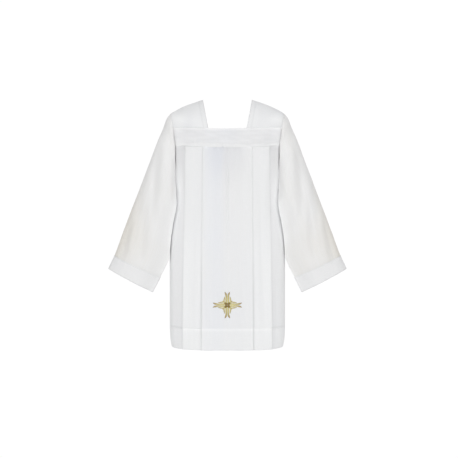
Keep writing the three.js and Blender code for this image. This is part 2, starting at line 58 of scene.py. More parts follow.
def along(table, key, column, places):
    """A column's value at places along a table, eased between its rows without overshooting."""
    keys = np.array(table[key], float)
    values = np.array(table[column], float)
    if keys[0] > keys[-1]:
        keys, values = keys[::-1], values[::-1]
    places = np.clip(places, keys[0], keys[-1])
    slopes = np.diff(values) / np.diff(keys)
    both = slopes[:-1] * slopes[1:]
    total = slopes[:-1] + slopes[1:]
    inner = np.where(both > 0, 2 * both / np.where(both > 0, total, 1), 0)
    tangents = np.concatenate([slopes[:1], inner, slopes[-1:]])
    i = np.clip(np.searchsorted(keys, places, side="right") - 1, 0, len(keys) - 2)
    span = keys[i + 1] - keys[i]
    t = (places - keys[i]) / span
    start = values[i] * (1 + 2 * t) + tangents[i] * span * t
    end = values[i + 1] * (3 - 2 * t) - tangents[i + 1] * span * (1 - t)
    return start * (1 - t) ** 2 + end * t**2


def lerp(a, b, t):
    return a + (b - a) * t


def smoothstep(value, low, high):
    t = np.clip((value - low) / (high - low), 0, 1)
    return t * t * (3 - 2 * t)


def section_row(heights):
    """Half width, half depth and power of the body's section at each height, as columns."""
    half_width = along(BODY, "z", "half_width", heights)[..., None]
    half_depth = along(BODY, "z", "half_depth", heights)[..., None]
    return half_width, half_depth, 2 / along(BODY, "z", "squareness", heights)[..., None]


def section_tables():
    """The quarter section's length at each angle, and its x and y at equal shares of that length."""
    half_width, half_depth, power = section_row(SECTION_HEIGHTS)
    x = half_width * np.sin(SECTION_ANGLES) ** power
    y = -half_depth * np.clip(np.cos(SECTION_ANGLES), 0, 1) ** power
    steps = np.hypot(np.diff(x), np.diff(y))
    lengths = np.concatenate([np.zeros((len(x), 1)), np.cumsum(steps, axis=1)], axis=1)
    rows = range(len(x))
    even_x = np.array([np.interp(SECTION_SHARES * lengths[r, -1], lengths[r], x[r]) for r in rows])
    even_y = np.array([np.interp(SECTION_SHARES * lengths[r, -1], lengths[r], y[r]) for r in rows])
    return lengths, even_x, even_y


SECTION_LENGTHS, SECTION_X, SECTION_Y = section_tables()


def looked_up(table, z, across):
    """A section table's value at a height and at a place from 0 to 1 across it."""
    rows, columns = table.shape
    row = np.clip((z - SECTION_HEIGHTS[0]) / SECTION_STEP, 0, rows - 1.001)
    column = np.clip(across, 0, 1) * (columns - 1)
    r = row.astype(int)
    c = np.minimum(column.astype(int), columns - 2)
    row, column = row - r, column - c
    upper = lerp(table[r, c], table[r, c + 1], column)
    lower = lerp(table[r + 1, c], table[r + 1, c + 1], column)
    return lerp(upper, lower, row)


def section_length(z):
    return looked_up(SECTION_LENGTHS, z, np.ones_like(z))


def on_body(z, length, depth=0.0):
    """Points at a length round the section from the middle of the front, moved inward by a depth."""
    z, length, depth = np.broadcast_arrays(np.asarray(z, float), length, depth)
    share = np.abs(length) / section_length(z)
    nudge = 0.002
    before = np.clip(share - nudge, 0, 1 - 2 * nudge)
    along_x = looked_up(SECTION_X, z, before + 2 * nudge) - looked_up(SECTION_X, z, before)
    along_y = looked_up(SECTION_Y, z, before + 2 * nudge) - looked_up(SECTION_Y, z, before)
    size = np.hypot(along_x, along_y)
    x = looked_up(SECTION_X, z, share) - along_y / size * depth
    y = looked_up(SECTION_Y, z, share) + along_x / size * depth
    return np.stack([np.sign(length + 1e-9) * x, y, z], axis=-1)


def length_at_x(z, x):
    half_width, _, power = (v[..., 0] for v in section_row(z))
    angle = np.arcsin(np.clip(np.abs(x) / half_width, 0, 1) ** (1 / power))
    return looked_up(SECTION_LENGTHS, z, angle / (np.pi / 2))


def length_at_depth(z, depth):
    """Where the section lies at a depth before the middle of the garment."""
    _, half_depth, power = (v[..., 0] for v in section_row(z))
    angle = np.arccos(np.clip(depth / half_depth, 0, 1) ** (1 / power))
    return looked_up(SECTION_LENGTHS, z, angle / (np.pi / 2))


# ---------------------------------------------------------------- front and back panels
# Each panel is one width of white cloth, gathered under the yoke into two pressed pleats a side. It hangs to a deep
# hem that is turned up and stitched, so the hem is doubled and looks whiter. The side seams join front and back.

YOKE_TOP, YOKE_TOP_SAG = -115, 6
YOKE_FOOT, YOKE_FOOT_SAG = -184, 10
YOKE_END = 209
HEM_LINE = -879
HEM_TURN_UP = HEM_LINE - HEM_EDGE
SIDE_RISE, SIDE_RISE_REACH = 5, 62
ARMHOLE_HALF_DEPTH, ARMHOLE_HALF_DEPTH_LOW = 64, 68
ARMHOLE_CURVE_TOP, UNDERARM = -270, -362

# The pleats on half a panel: their open edges' x, the cloth tucked under, the white before them, and their points.
PLEATS = {"at_yoke": [93, 162], "at_hem": [98, 174], "under": [40, 38], "white": [0.42, 0.7], "points": [17, 22]}
LAYER_STEP, HEM_LAYER_STEP = 2.1, 3.7
PLEAT_GAPE, PLEAT_GAPE_REACH = 2.2, 17
SIDE_POINTS = 37
FOLD_STEPS = np.linspace(0, np.pi, 7)
CREASE_REACH = 13
CREASE = {"z": [-184, -230, -330, -420, -700, -961], "depth": [1.5, 3.4, 6.4, 5.0, 1.4, 0.4]}
# Soft troughs that the hanging cloth falls into, from head to foot. Lengths are round from the front's middle.
PANEL_TROUGHS = {
    "head_at": [-38, 30, -128, 126, -64, 60],
    "head_z": [-190, -240, -300, -280, -560, -610],
    "foot_at": [-50, 44, -134, 136, -76, 70],
    "foot_z": [-720, -700, -900, -880, -930, -940],
    "width": [26, 20, 15, 17, 15, 17],
    "depth": [3.0, 2.0, 1.6, 2.0, 1.6, 1.5],
}
HEAD_TUCK, HEAD_TUCK_DEPTH = 6, 2.2
# Heights of a panel's smaller relief.
PANEL_RELIEF = {
    "swell": 1.5, "ripple": 0.5, "gathers": 0.6, "middle_gathers": 1.6, "hem_pulls": 0.55, "front_stitches": 0.12,
    "side_stitches": 0.6, "side_seam": 1.3, "armhole": 2.6, "hem_uneven": 0.5,
}
# How much shade is painted on each place of a panel. Below zero, light is painted there and it is whiter.
PANEL_PAINTED_LIGHT = {
    "side_head": 1.4, "side": -1.3, "middle_head": 0.9, "under_yoke": -2.2, "outer_front": -0.6, "pleat_head": 0.5,
    "pleat_foot": 3.4, "hem_line": -1.2, "side_edge": -2.4, "beside_sleeve": -2.0,
}
# Where the sleeve's inner fold lies against the panel, round from the side seam. Light is painted there against the
# shade of the crevice.
SLEEVE_LINE = {"z": [-290, -370, -430, -546, -620, -680], "from_side": [80, 84, 80, 50, 24, 10]}
FACE, BACK = 0.45, -0.35
DOUBLED_BACK = -1.2


def yoke_edge(end, sag, x):
    return end - sag * np.clip(1 - (x / YOKE_END) ** 2, 0, 1) ** 1.5


def armhole_depth(z):
    """How far before the garment's middle the armhole's edge lies at a height."""
    straight = lerp(ARMHOLE_HALF_DEPTH, ARMHOLE_HALF_DEPTH_LOW, (YOKE_TOP - z) / (YOKE_TOP - ARMHOLE_CURVE_TOP))
    down = np.clip((ARMHOLE_CURVE_TOP - z) / (ARMHOLE_CURVE_TOP - UNDERARM), 0, 1)
    return np.where(z > ARMHOLE_CURVE_TOP, straight, ARMHOLE_HALF_DEPTH_LOW * np.sqrt(1 - down**2))


def armhole_on_body(z):
    return on_body(z, length_at_depth(z, armhole_depth(z)))


def near(distance, reach, power=2):
    """1 at a place and dying away on both sides of it. A higher power gives a flatter top and steeper sides. A ridge
    in the cloth is written as its height * near(distance - its place, its reach), all in millimetres."""
    return np.exp(-((distance / reach) ** power))


def fading(distance, reach):
    """1 at an edge and dying away from it."""
    return np.exp(-distance / reach)


def spaced(*spans):
    """Places in spans that each have a start, an end and a count. Only the last span holds its own end."""
    places = [np.linspace(start, end, count, endpoint=False) for start, end, count in spans[:-1]]
    return np.concatenate([*places, np.linspace(*spans[-1])])


def troughs(table, at, z):
    """The depth of a table's soft troughs at each place."""
    depth = np.zeros(np.broadcast(at, z).shape)
    for head_at, head_z, foot_at, foot_z, width, deep in zip(*table.values()):
        down = (head_z - z) / (head_z - foot_z)
        off = at - lerp(head_at, foot_at, down)
        held = smoothstep(down, 0, 0.35) * (1 - smoothstep(down, 0.7, 1))
        depth = depth + deep * held * near(off, width)
    return depth


def rumple(across, down, seed, across_size, down_size, waves=9):
    """An uneven soft surface from -1 to 1, whose humps have about the given sizes."""
    random = np.random.default_rng(seed)
    total = np.zeros(np.broadcast(across, down).shape)
    for _ in range(waves):
        a = random.normal(0, 2 * np.pi / across_size / 1.6)
        d = random.normal(0, 2 * np.pi / down_size / 1.6)
        total = total + np.sin(a * across + d * down + random.uniform(0, 2 * np.pi))
    return total / np.sqrt(waves * 2)


def surface_normals(grid, ring):
    """The outward normal at each point of a grid whose columns go round the garment and whose rows go down."""
    if ring:
        across = np.roll(grid, -1, axis=1) - np.roll(grid, 1, axis=1)
    else:
        across = np.gradient(grid, axis=1)
    normals = np.cross(np.gradient(grid, axis=0), across)
    return normals / np.linalg.norm(normals, axis=-1, keepdims=True)


def smooth_mesh(name, points, faces):
    mesh = bpy.data.meshes.new(name)
    mesh.from_pydata(points, [], faces)
    mesh.polygons.foreach_set("use_smooth", np.ones(len(faces), bool))
    return mesh


def placed(name, data):
    thing = bpy.data.objects.new(name, data)
    bpy.context.scene.collection.objects.link(thing)
    return thing


def shell(name, grid, face, back, ring=False, marks=None):
    """A closed thin shell of cloth on a grid of points. Its face and back stand off the grid by their own distances.
    Its UV map is the cloth's own width and length in metres, and marks are shares that the finishes use."""
    rows, columns = grid.shape[:2]
    normals = surface_normals(grid, ring)
    sides = [grid + normals * np.broadcast_to(step, (rows, columns))[..., None] for step in (face, back)]
    points = np.concatenate([side.reshape(-1, 3) for side in sides]) * MM
    index = np.arange(rows * columns).reshape(rows, columns)
    wide = np.concatenate([index, index[:, :1]], axis=1) if ring else index
    a, b, c, d = wide[:-1, :-1], wide[1:, :-1], wide[1:, 1:], wide[:-1, 1:]
    under = rows * columns
    quads = [np.stack([a, b, c, d], -1), np.stack([a, d, c, b], -1) + under]
    rims = [(wide[0], False), (wide[-1], True)]
    if not ring:
        rims += [(wide[:, 0], True), (wide[:, -1], False)]
    for rim, turned in rims:
        p, q = (rim[:-1], rim[1:]) if turned else (rim[1:], rim[:-1])
        quads.append(np.stack([q, p, p + under, q + under], -1))
    faces = np.concatenate([q.reshape(-1, 4) for q in quads])
    mesh = smooth_mesh(name, points.tolist(), faces.tolist())
    steps_across = np.linalg.norm(np.diff(grid, axis=1), axis=-1)
    steps_down = np.linalg.norm(np.diff(grid, axis=0), axis=-1)
    across = np.concatenate([[0], np.cumsum(np.median(steps_across, axis=0))])
    down = np.concatenate([[0], np.cumsum(np.median(steps_down, axis=1))])
    flat = np.stack(np.meshgrid(across, down), -1).reshape(-1, 2) * MM
    loops = np.empty(len(mesh.loops), np.int32)
    mesh.loops.foreach_get("vertex_index", loops)
    mesh.uv_layers.new(name="cloth")
    mesh.uv_layers["cloth"].data.foreach_set("uv", flat[loops % under].astype(np.float32).ravel())
    for mark, values in (marks or {}).items():
        layer = mesh.attributes.new(mark, "FLOAT", "POINT")
        both = np.tile(np.broadcast_to(values, (rows, columns)).ravel(), 2)
        layer.data.foreach_set("value", both.astype(np.float32))
    mesh.validate()
    return placed(name, mesh)


def pleat_edge(z, at_yoke, at_hem):
    """The length round the section at which a pleat's open edge hangs."""
    return length_at_x(z, lerp(at_yoke, at_hem, (YOKE_FOOT - z) / (YOKE_FOOT - HEM_EDGE)))


def pleated_columns(z):
    """Half a panel's path in plan for every row: lengths round the section, depths inward, how far a pleat's open
    edge stands up, and how much the cloth behind each place whitens it, with light painted on the folds and the sides."""
    down = (YOKE_FOOT - z) / (YOKE_FOOT - HEM_EDGE)
    hem = smoothstep(HEM_LINE - z, -2, 2)
    step = lerp(LAYER_STEP, HEM_LAYER_STEP, hem)
    lengths, depths, tops, layers_and_painted_light = [], [], [], []

    def lay(length, depth, top=0.0, layered=0.5):
        lengths.append(length)
        depths.append(depth)
        tops.append(np.broadcast_to(top, z.shape))
        layers_and_painted_light.append(np.broadcast_to(layered, z.shape))

    def run(start, end, depth, count, top=lambda length: 0.0, layered=lambda length: 0.5):
        for share in np.arange(count) / count:
            length = lerp(start, end, share)
            lay(length, depth, top(length), layered(length))

    def fold(edge, way, upper, lower, top=0.0, layered=0.5):
        radius = (lower - upper) / 2
        for angle in FOLD_STEPS:
            lay(edge - way * radius * (1 - np.sin(angle)), (upper + lower) / 2 - radius * np.cos(angle), top, layered)

    crease = along(CREASE, "z", "depth", z)
    for share in np.arange(7) / 7:
        lay(CREASE_REACH * share * np.ones_like(z), crease * (1 - share) ** 1.8)
    start = CREASE_REACH * np.ones_like(z)
    level = np.zeros_like(z)
    for at_yoke, at_hem, tucked, white, count in zip(*PLEATS.values()):
        edge = pleat_edge(z, at_yoke, at_hem)
        under = level + step
        floor = under + LAYER_STEP
        gape = PLEAT_GAPE * smoothstep(down, 0.15, 0.8)
        rising = lambda length: gape * near(edge - length, PLEAT_GAPE_REACH)
        backed = lambda length: lerp(white, white + 0.12, smoothstep(length, edge - tucked - 9, edge - tucked + 9))
        run(start, edge - step / 2, level, count, rising, backed)
        # The fold's turn is painted whiter, light set against the dark of the turn.
        fold(edge, 1, level, under, gape, white + 0.5)
        run(edge - step / 2, edge - tucked + 1, under, 8)
        fold(edge - tucked, -1, under, floor)
        start, level = edge - tucked + 1, floor
    end = np.where(z > UNDERARM, length_at_depth(z, armhole_depth(z)), section_length(z))
    share_from = (edge + 1 - start) / (end - start)
    # The side is painted whiter toward the side seam, light set against the shade where the cloth turns away.
    for share in (np.arange(SIDE_POINTS) / (SIDE_POINTS - 1)) ** 0.92:
        eased = np.clip((share - share_from) / (1 - share_from), 0, 1)
        whiter = eased * smoothstep(down, 0.06, 0.22)
        lay(lerp(start, end, share), level * (1 - smoothstep(eased, 0, 1)), layered=0.12 + whiter)
    return [np.array(columns).T for columns in (lengths, depths, tops, layers_and_painted_light)]


def panel_rows():
    """Row heights: close together at the yoke's seam and at the hem's stitching and edge."""
    return spaced(
        (YOKE_FOOT + HEAD_TUCK, YOKE_FOOT, 5),
        (YOKE_FOOT, -212, 9),
        (-212, -860, 112),
        (-860, HEM_LINE - 10, 16),
        (HEM_LINE - 10, -948, 11),
        (-948, HEM_EDGE, 6),
    )


def panel_grid(seed, meets_sleeves):
    """A panel's points, the steps from them to the back of its cloth, and its marks."""
    relief, tone = PANEL_RELIEF, PANEL_PAINTED_LIGHT
    rows = panel_rows()
    lengths, depths, tops, layers_and_painted_light = (
        np.concatenate([sign * half[:, :0:-1], half], axis=1)
        for sign, half in zip((-1, 1, 1, 1), pleated_columns(rows))
    )
    z = np.broadcast_to(rows[:, None], lengths.shape)
    below_yoke, below_hem = YOKE_FOOT - z, HEM_LINE - z
    down = below_yoke / (YOKE_FOOT - HEM_EDGE)
    from_middle = np.abs(lengths)
    from_side = section_length(z) - from_middle
    from_armhole = lengths[:, -1:] - from_middle
    middle = near(lengths, 70)
    pleats = zip(PLEATS["at_yoke"], PLEATS["at_hem"])
    edges = [pleat_edge(rows, at_yoke, at_hem)[:, None] for at_yoke, at_hem in pleats]
    on_side = smoothstep(from_middle, edges[1] - 4, edges[1] + 4)

    # Its relief: the hang of the cloth, gathers under the yoke, pulls and stitches at the hem, and the sewn edges.
    hangs = smoothstep(below_yoke, 0, 60)
    soft = troughs(PANEL_TROUGHS, lengths, z)
    soft = soft + relief["swell"] * rumple(lengths, z, seed, 70, 900) * hangs
    soft = soft + relief["ripple"] * rumple(lengths, z, seed + 1, 22, 260) * hangs
    gathers = (relief["gathers"] + relief["middle_gathers"] * middle) * rumple(lengths, z, seed + 2, 19, 90)
    gathers = gathers * fading(np.abs(below_yoke), 26)
    pulls = relief["hem_pulls"] * rumple(lengths, z, seed + 3, 13, 30) * near(below_hem, 9)
    stitched = lerp(relief["front_stitches"], relief["side_stitches"], on_side) * near(below_hem + 1, 2.2)
    side_seam = relief["side_seam"] * near(from_side, 2.6) * (z < UNDERARM)
    tucked = HEAD_TUCK_DEPTH * smoothstep(-below_yoke, 0.5, 5)
    armhole = near(from_armhole, 4.5) * smoothstep(z, -290, -250)
    depth = depths - tops + (soft + gathers) * smoothstep(from_side, 30, 120)
    depth = depth + pulls + stitched + side_seam + tucked + relief["armhole"] * armhole

    # Its heights: the head follows the yoke's sag, and the hem rises a little at the sides.
    sag = yoke_edge(YOKE_FOOT, YOKE_FOOT_SAG, on_body(z, lengths)[..., 0]) - YOKE_FOOT
    sag = sag * (1 - smoothstep(below_yoke, 0, 180))
    rise = SIDE_RISE * near(from_side, SIDE_RISE_REACH) * smoothstep(below_hem, 0, HEM_TURN_UP)
    uneven = relief["hem_uneven"] * rumple(lengths, 0 * z, seed + 4, 60, 100)
    uneven = uneven * smoothstep(below_hem, 20, HEM_TURN_UP)
    grid = on_body(z + sag + rise + uneven, lengths, depth)

    # Its tone: bluer left of the middle and greyer at the head of the middle, both painted shade, and whiter where more
    # cloth lies behind. Shade is painted at the head of the sides and along the pleats' edges, and light is painted
    # under the yoke, lower on the sides and the outer front, at the hem's stitching, at the side edges and beside the
    # sleeves.
    blued = near(lengths + 50, 36, 4) * (0.9 - 0.4 * down) + 0.12
    blued = blued + 0.35 * smoothstep(down, 0.6, 0.85) * near(lengths + 20, 120, 4)
    greyed = near(below_yoke, 110) * near(lengths + 5, 80, 4)
    beside = smoothstep(from_middle, edges[1], edges[1] + 12)
    painted_light_and_tone = beside * lerp(tone["side_head"], tone["side"], smoothstep(down, 0.05, 0.28))
    painted_light_and_tone = painted_light_and_tone + tone["middle_head"] * greyed + tone["under_yoke"] * near(below_yoke, 7) * (1 - middle)
    outer = smoothstep(from_middle, 80, 110) * smoothstep(down, 0.3, 0.6)
    painted_light_and_tone = painted_light_and_tone + tone["outer_front"] * (1 - beside) * outer
    for edge in edges:
        line = near(from_middle - edge - 1, 2.4)
        painted_light_and_tone = painted_light_and_tone + line * lerp(tone["pleat_head"], tone["pleat_foot"], smoothstep(down, 0.45, 0.8))
    painted_light_and_tone = painted_light_and_tone + tone["hem_line"] * (1 - on_side) * near(below_hem - 4, 5)
    painted_light_and_tone = painted_light_and_tone + tone["side_edge"] * near(from_side, 66) * smoothstep(-z, 540, 680)
    if meets_sleeves:
        from_sleeve = from_side - along(SLEEVE_LINE, "z", "from_side", z)
        line = near(np.where(from_sleeve < 0, 0.5, 1) * from_sleeve, 13)
        painted_light_and_tone = painted_light_and_tone + tone["beside_sleeve"] * line * smoothstep(-z, 300, 350) * (1 - smoothstep(-z, 560, 660))

    # Its seams: the hem's stitching where it shows, the pull of the gathers with shade painted in them, the side seams,
    # and a shadow painted along the armholes.
    doubled = smoothstep(below_hem, -1, 2)
    pulled = (1.6 + 1.2 * rumple(lengths, z, seed + 6, 16, 30)) * middle * fading(np.abs(below_yoke), 8)
    seam = 1.4 * on_side * near(below_hem, 5) + pulled + fading(from_side, 5)
    marks = {
        "painted_light_and_tone": painted_light_and_tone,
        "drift": blued + 0.3 * greyed,
        "layers_and_painted_light": layers_and_painted_light - 0.5 * greyed + 0.25 * doubled,
        "seam": np.clip(seam, 0, 1) + 3.0 * armhole,
    }
    return grid, lerp(BACK, DOUBLED_BACK, doubled), marks


def turned(grid):
    """The same grid for the back of the garment."""
    return (grid * [1, -1, 1])[:, ::-1]


panel_pieces = {}
for side, seed in (("front", 11), ("back", 47)):
    grid, back, marks = panel_grid(seed, meets_sleeves=side == "front")
    if side == "back":
        grid, back, marks = turned(grid), back[:, ::-1], {mark: values[:, ::-1] for mark, values in marks.items()}
    panel_pieces[side] = (shell(f"{side}_panel_cloth", grid, FACE, back, marks=marks), grid)


# The cloth's finish: a fine plain weave with uneven threads, soft tone changes, and small puckers where it is sewn.
# A piece's marks place them. More cloth behind and painted light whiten it, drift gives its second tone, which
# is painted shade in places, a seam puckers and dulls it and carries the shadow painted along an armhole, and the
# painted shade mark greys it, or whitens it as painted light where it is below zero.


def node_group(name, inputs, outputs):
    """A new node group, the sockets that feed it and the sockets that it feeds."""
    group = bpy.data.node_groups.new(name, "ShaderNodeTree")
    for title, kind, default in inputs:
        socket = group.interface.new_socket(title, in_out="INPUT", socket_type=kind)
        if default is not None:
            socket.default_value = default
    for title, kind in outputs:
        group.interface.new_socket(title, in_out="OUTPUT", socket_type=kind)
    return group, group.nodes.new("NodeGroupInput").outputs, group.nodes.new("NodeGroupOutput").inputs


def add(tree, kind, links=None, values=None, **settings):
    """A node with its settings, its sockets' values and the sockets that feed it."""
    node = tree.nodes.new(kind)
    for key, value in settings.items():
        setattr(node, key, value)
    for key, value in (values or {}).items():
        node.inputs[key].default_value = value
    for key, source in (links or {}).items():
        tree.links.new(source, node.inputs[key])
    return node


def maths(tree, operation, first, second=None):
    node = tree.nodes.new("ShaderNodeMath")
    node.operation = operation
    for socket, value in zip(node.inputs, (first, second)):
        if isinstance(value, (int, float)):
            socket.default_value = value
        elif value is not None:
            tree.links.new(value, socket)
    return node.outputs[0]


def mixed(tree, factor, first, second, blend="MIX"):
    node = tree.nodes.new("ShaderNodeMix")
    node.data_type = "RGBA"
    node.blend_type = blend
    for index, value in ((0, factor), (6, first), (7, second)):
        if isinstance(value, bpy.types.NodeSocket):
            tree.links.new(value, node.inputs[index])
        else:
            node.inputs[index].default_value = value
    return node.outputs[2]


def noise(tree, vector, stretch, detail=2.0):
    """Noise over a vector that is first stretched, in humps for each metre."""
    scaled = add(tree, "ShaderNodeVectorMath", {0: vector}, {1: stretch}, operation="MULTIPLY").outputs[0]
    return add(tree, "ShaderNodeTexNoise", {"Vector": scaled}, {"Scale": 1.0, "Detail": detail}).outputs["Fac"]


def weave_group():
    """A plain weave of crossing threads with slubs. Height is about 0 to 1, and Shade is darker between threads."""
    group, given, out = node_group(
        "plain_weave",
        [("Cloth", "NodeSocketVector", None), ("Threads", "NodeSocketFloat", 1400.0), ("Slub", "NodeSocketFloat", 0.5)],
        [("Height", "NodeSocketFloat"), ("Shade", "NodeSocketFloat")],
    )
    parts = add(group, "ShaderNodeSeparateXYZ", {"Vector": given["Cloth"]})
    turns = maths(group, "MULTIPLY", given["Threads"], 2 * np.pi)
    warp = maths(group, "SINE", maths(group, "MULTIPLY", parts.outputs["X"], turns))
    weft = maths(group, "SINE", maths(group, "MULTIPLY", parts.outputs["Y"], turns))
    crossing = maths(group, "MULTIPLY", maths(group, "MULTIPLY", warp, weft), 0.25)
    upright = noise(group, given["Cloth"], (700.0, 30.0, 1.0))
    level = noise(group, given["Cloth"], (30.0, 700.0, 1.0))
    slub = maths(group, "SUBTRACT", maths(group, "ADD", upright, level), 1.0)
    slub = maths(group, "MULTIPLY", slub, given["Slub"])
    height = maths(group, "ADD", maths(group, "ADD", crossing, 0.5), slub)
    group.links.new(height, out["Height"])
    group.links.new(maths(group, "ADD", maths(group, "MULTIPLY", height, 0.1), 0.93), out["Shade"])
    return group


def tone_group():
    """The cloth's colour: its white drifts to a second tone where the piece's marks say so, in soft patches and in
    long faint streaks. A whiter tone shows where cloth is doubled and where light is painted. Seams and painted shade
    grey it, and painted light whitens it where that input is below zero."""
    colours = ("Single Layer", "Second Tone", "Whiter For Doubled Cloth And Painted Light")
    group, given, out = node_group(
        "cloth_tone",
        [
            ("Cloth", "NodeSocketVector", None),
            ("Place", "NodeSocketVector", None),
            ("Shade", "NodeSocketFloat", 1.0),
            ("Doubled Cloth And Painted Light", "NodeSocketFloat", 0.0),
            ("Seams And Painted Light", "NodeSocketFloat", 0.0),
            ("Drift", "NodeSocketFloat", 0.0),
            *[(colour, "NodeSocketColor", None) for colour in colours],
        ],
        [("Color", "NodeSocketColor")],
    )
    patch = noise(group, given["Place"], (5.0, 5.0, 3.0))
    streak = noise(group, given["Cloth"], (170.0, 5.0, 1.0))
    drift = maths(group, "ADD", maths(group, "MULTIPLY", patch, 1.0), maths(group, "MULTIPLY", streak, 0.5))
    drift = maths(group, "ADD", maths(group, "SUBTRACT", drift, 0.75), given["Drift"])
    drift = add(group, "ShaderNodeClamp", {"Value": drift}).outputs[0]
    single = mixed(group, drift, given["Single Layer"], given["Second Tone"])
    cloth = mixed(group, given["Doubled Cloth And Painted Light"], single, given["Whiter For Doubled Cloth And Painted Light"])
    painted_light_and_tone = maths(group, "SUBTRACT", given["Shade"], maths(group, "MULTIPLY", given["Seams And Painted Light"], 0.04))
    grey = add(group, "ShaderNodeCombineColor", {0: painted_light_and_tone, 1: painted_light_and_tone, 2: painted_light_and_tone}).outputs[0]
    group.links.new(mixed(group, 1.0, cloth, grey, "MULTIPLY"), out["Color"])
    return group


def relief_group():
    """The cloth's small relief in tenths of a millimetre: weave, soft wrinkles, and puckers along a seam."""
    group, given, out = node_group(
        "cloth_relief",
        [
            ("Cloth", "NodeSocketVector", None),
            ("Weave", "NodeSocketFloat", 0.5),
            ("Seam", "NodeSocketFloat", 0.0),
            ("Wrinkles", "NodeSocketFloat", 4.0),
            ("Puckers", "NodeSocketFloat", 3.0),
        ],
        [("Height", "NodeSocketFloat")],
    )
    wrinkle = noise(group, given["Cloth"], (26.0, 9.0, 1.0), 3.0)
    crumple = noise(group, given["Cloth"], (55.0, 48.0, 1.0), 2.0)
    pucker = noise(group, given["Cloth"], (130.0, 90.0, 1.0), 1.0)
    soft = maths(group, "ADD", wrinkle, maths(group, "MULTIPLY", crumple, 0.25))
    soft = maths(group, "MULTIPLY", soft, given["Wrinkles"])
    sewn = maths(group, "MULTIPLY", maths(group, "MULTIPLY", pucker, given["Puckers"]), given["Seam"])
    height = maths(group, "ADD", maths(group, "ADD", soft, sewn), given["Weave"])
    group.links.new(height, out["Height"])
    return group


WEAVE, TONE, RELIEF = weave_group(), tone_group(), relief_group()
RELIEF_UNIT = 0.0001


def principled(name, colour, roughness, **settings):
    """A new material, its node tree and its shader with the shader's own uniform settings."""
    material = bpy.data.materials.new(name)
    material.use_nodes = True
    material.diffuse_color = (*colour, 1)
    shader = material.node_tree.nodes["Principled BSDF"]
    shader.inputs["Base Color"].default_value = (*colour, 1)
    shader.inputs["Roughness"].default_value = roughness
    for socket, value in settings.items():
        shader.inputs[socket.replace("_", " ").title().replace("Ior", "IOR")].default_value = value
    return material, material.node_tree, shader


def cloth_material(name, single, second, white_of_doubled_cloth_and_painted_light, wrinkles):
    """The garment's cloth, whose finish follows the marks of the piece that it covers."""
    material, tree, shader = principled(
        name, single, 0.86, sheen_weight=0.04, sheen_roughness=0.45, specular_ior_level=0.3
    )
    cloth = add(tree, "ShaderNodeUVMap", uv_map="cloth").outputs[0]
    place = add(tree, "ShaderNodeTexCoord").outputs["Object"]
    seam, drift, painted_light_and_tone, layers_and_painted_light = (
        add(tree, "ShaderNodeAttribute", attribute_name=mark).outputs["Fac"]
        for mark in ("seam", "drift", "painted_light_and_tone", "layers_and_painted_light")
    )
    weave = add(tree, "ShaderNodeGroup", {"Cloth": cloth}, node_tree=WEAVE).outputs
    feeds = {"Cloth": cloth, "Place": place, "Shade": weave["Shade"], "Doubled Cloth And Painted Light": layers_and_painted_light, "Drift": drift}
    feeds["Seams And Painted Light"] = maths(tree, "ADD", seam, painted_light_and_tone)
    colours = {"Single Layer": (*single, 1), "Second Tone": (*second, 1), "Whiter For Doubled Cloth And Painted Light": (*white_of_doubled_cloth_and_painted_light, 1)}
    tone = add(tree, "ShaderNodeGroup", feeds, colours, node_tree=TONE)
    feeds = {"Cloth": cloth, "Weave": weave["Height"], "Seam": seam}
    relief = add(tree, "ShaderNodeGroup", feeds, {"Wrinkles": wrinkles}, node_tree=RELIEF)
    bump = add(tree, "ShaderNodeBump", {"Height": relief.outputs["Height"]}, {"Strength": 1.0, "Distance": RELIEF_UNIT})
    tree.links.new(tone.outputs["Color"], shader.inputs["Base Color"])
    tree.links.new(bump.outputs["Normal"], shader.inputs["Normal"])
    return material


# The second tone is cooler, in random patches and streaks and in the shade painted left of the front's middle. The
# whitest tone is for doubled cloth and for painted light.
WHITE = (0.80, 0.80, 0.805)
COOL_WHITE = (0.77, 0.785, 0.825)
WHITE_OF_DOUBLED_CLOTH_AND_PAINTED_LIGHT = (0.862, 0.868, 0.872)
white_cloth = cloth_material("white_cloth", WHITE, COOL_WHITE, WHITE_OF_DOUBLED_CLOTH_AND_PAINTED_LIGHT, 4.0)


# A seam's stitches are short raised threads, sunk a little into the cloth.

STITCH_LENGTH, STITCH_PITCH, STITCH_WIDTH, STITCH_HEIGHT = 2.6, 3.3, 0.55, 0.28
thread_white, _, _ = principled("thread_white", (0.83, 0.835, 0.85), 0.6, sheen_weight=0.3)


def resampled(points, values, pitch):
    """Evenly spaced places along a line of points, with the values that go with them."""
    reach = np.concatenate([[0], np.cumsum(np.linalg.norm(np.diff(points, axis=0), axis=1))])
    places = np.arange(pitch / 2, reach[-1], pitch)
    even = lambda table: np.stack([np.interp(places, reach, table[:, k]) for k in range(3)], -1)
    return even(points), even(values)


def unit(vectors):
    return vectors / np.linalg.norm(vectors, axis=-1, keepdims=True)


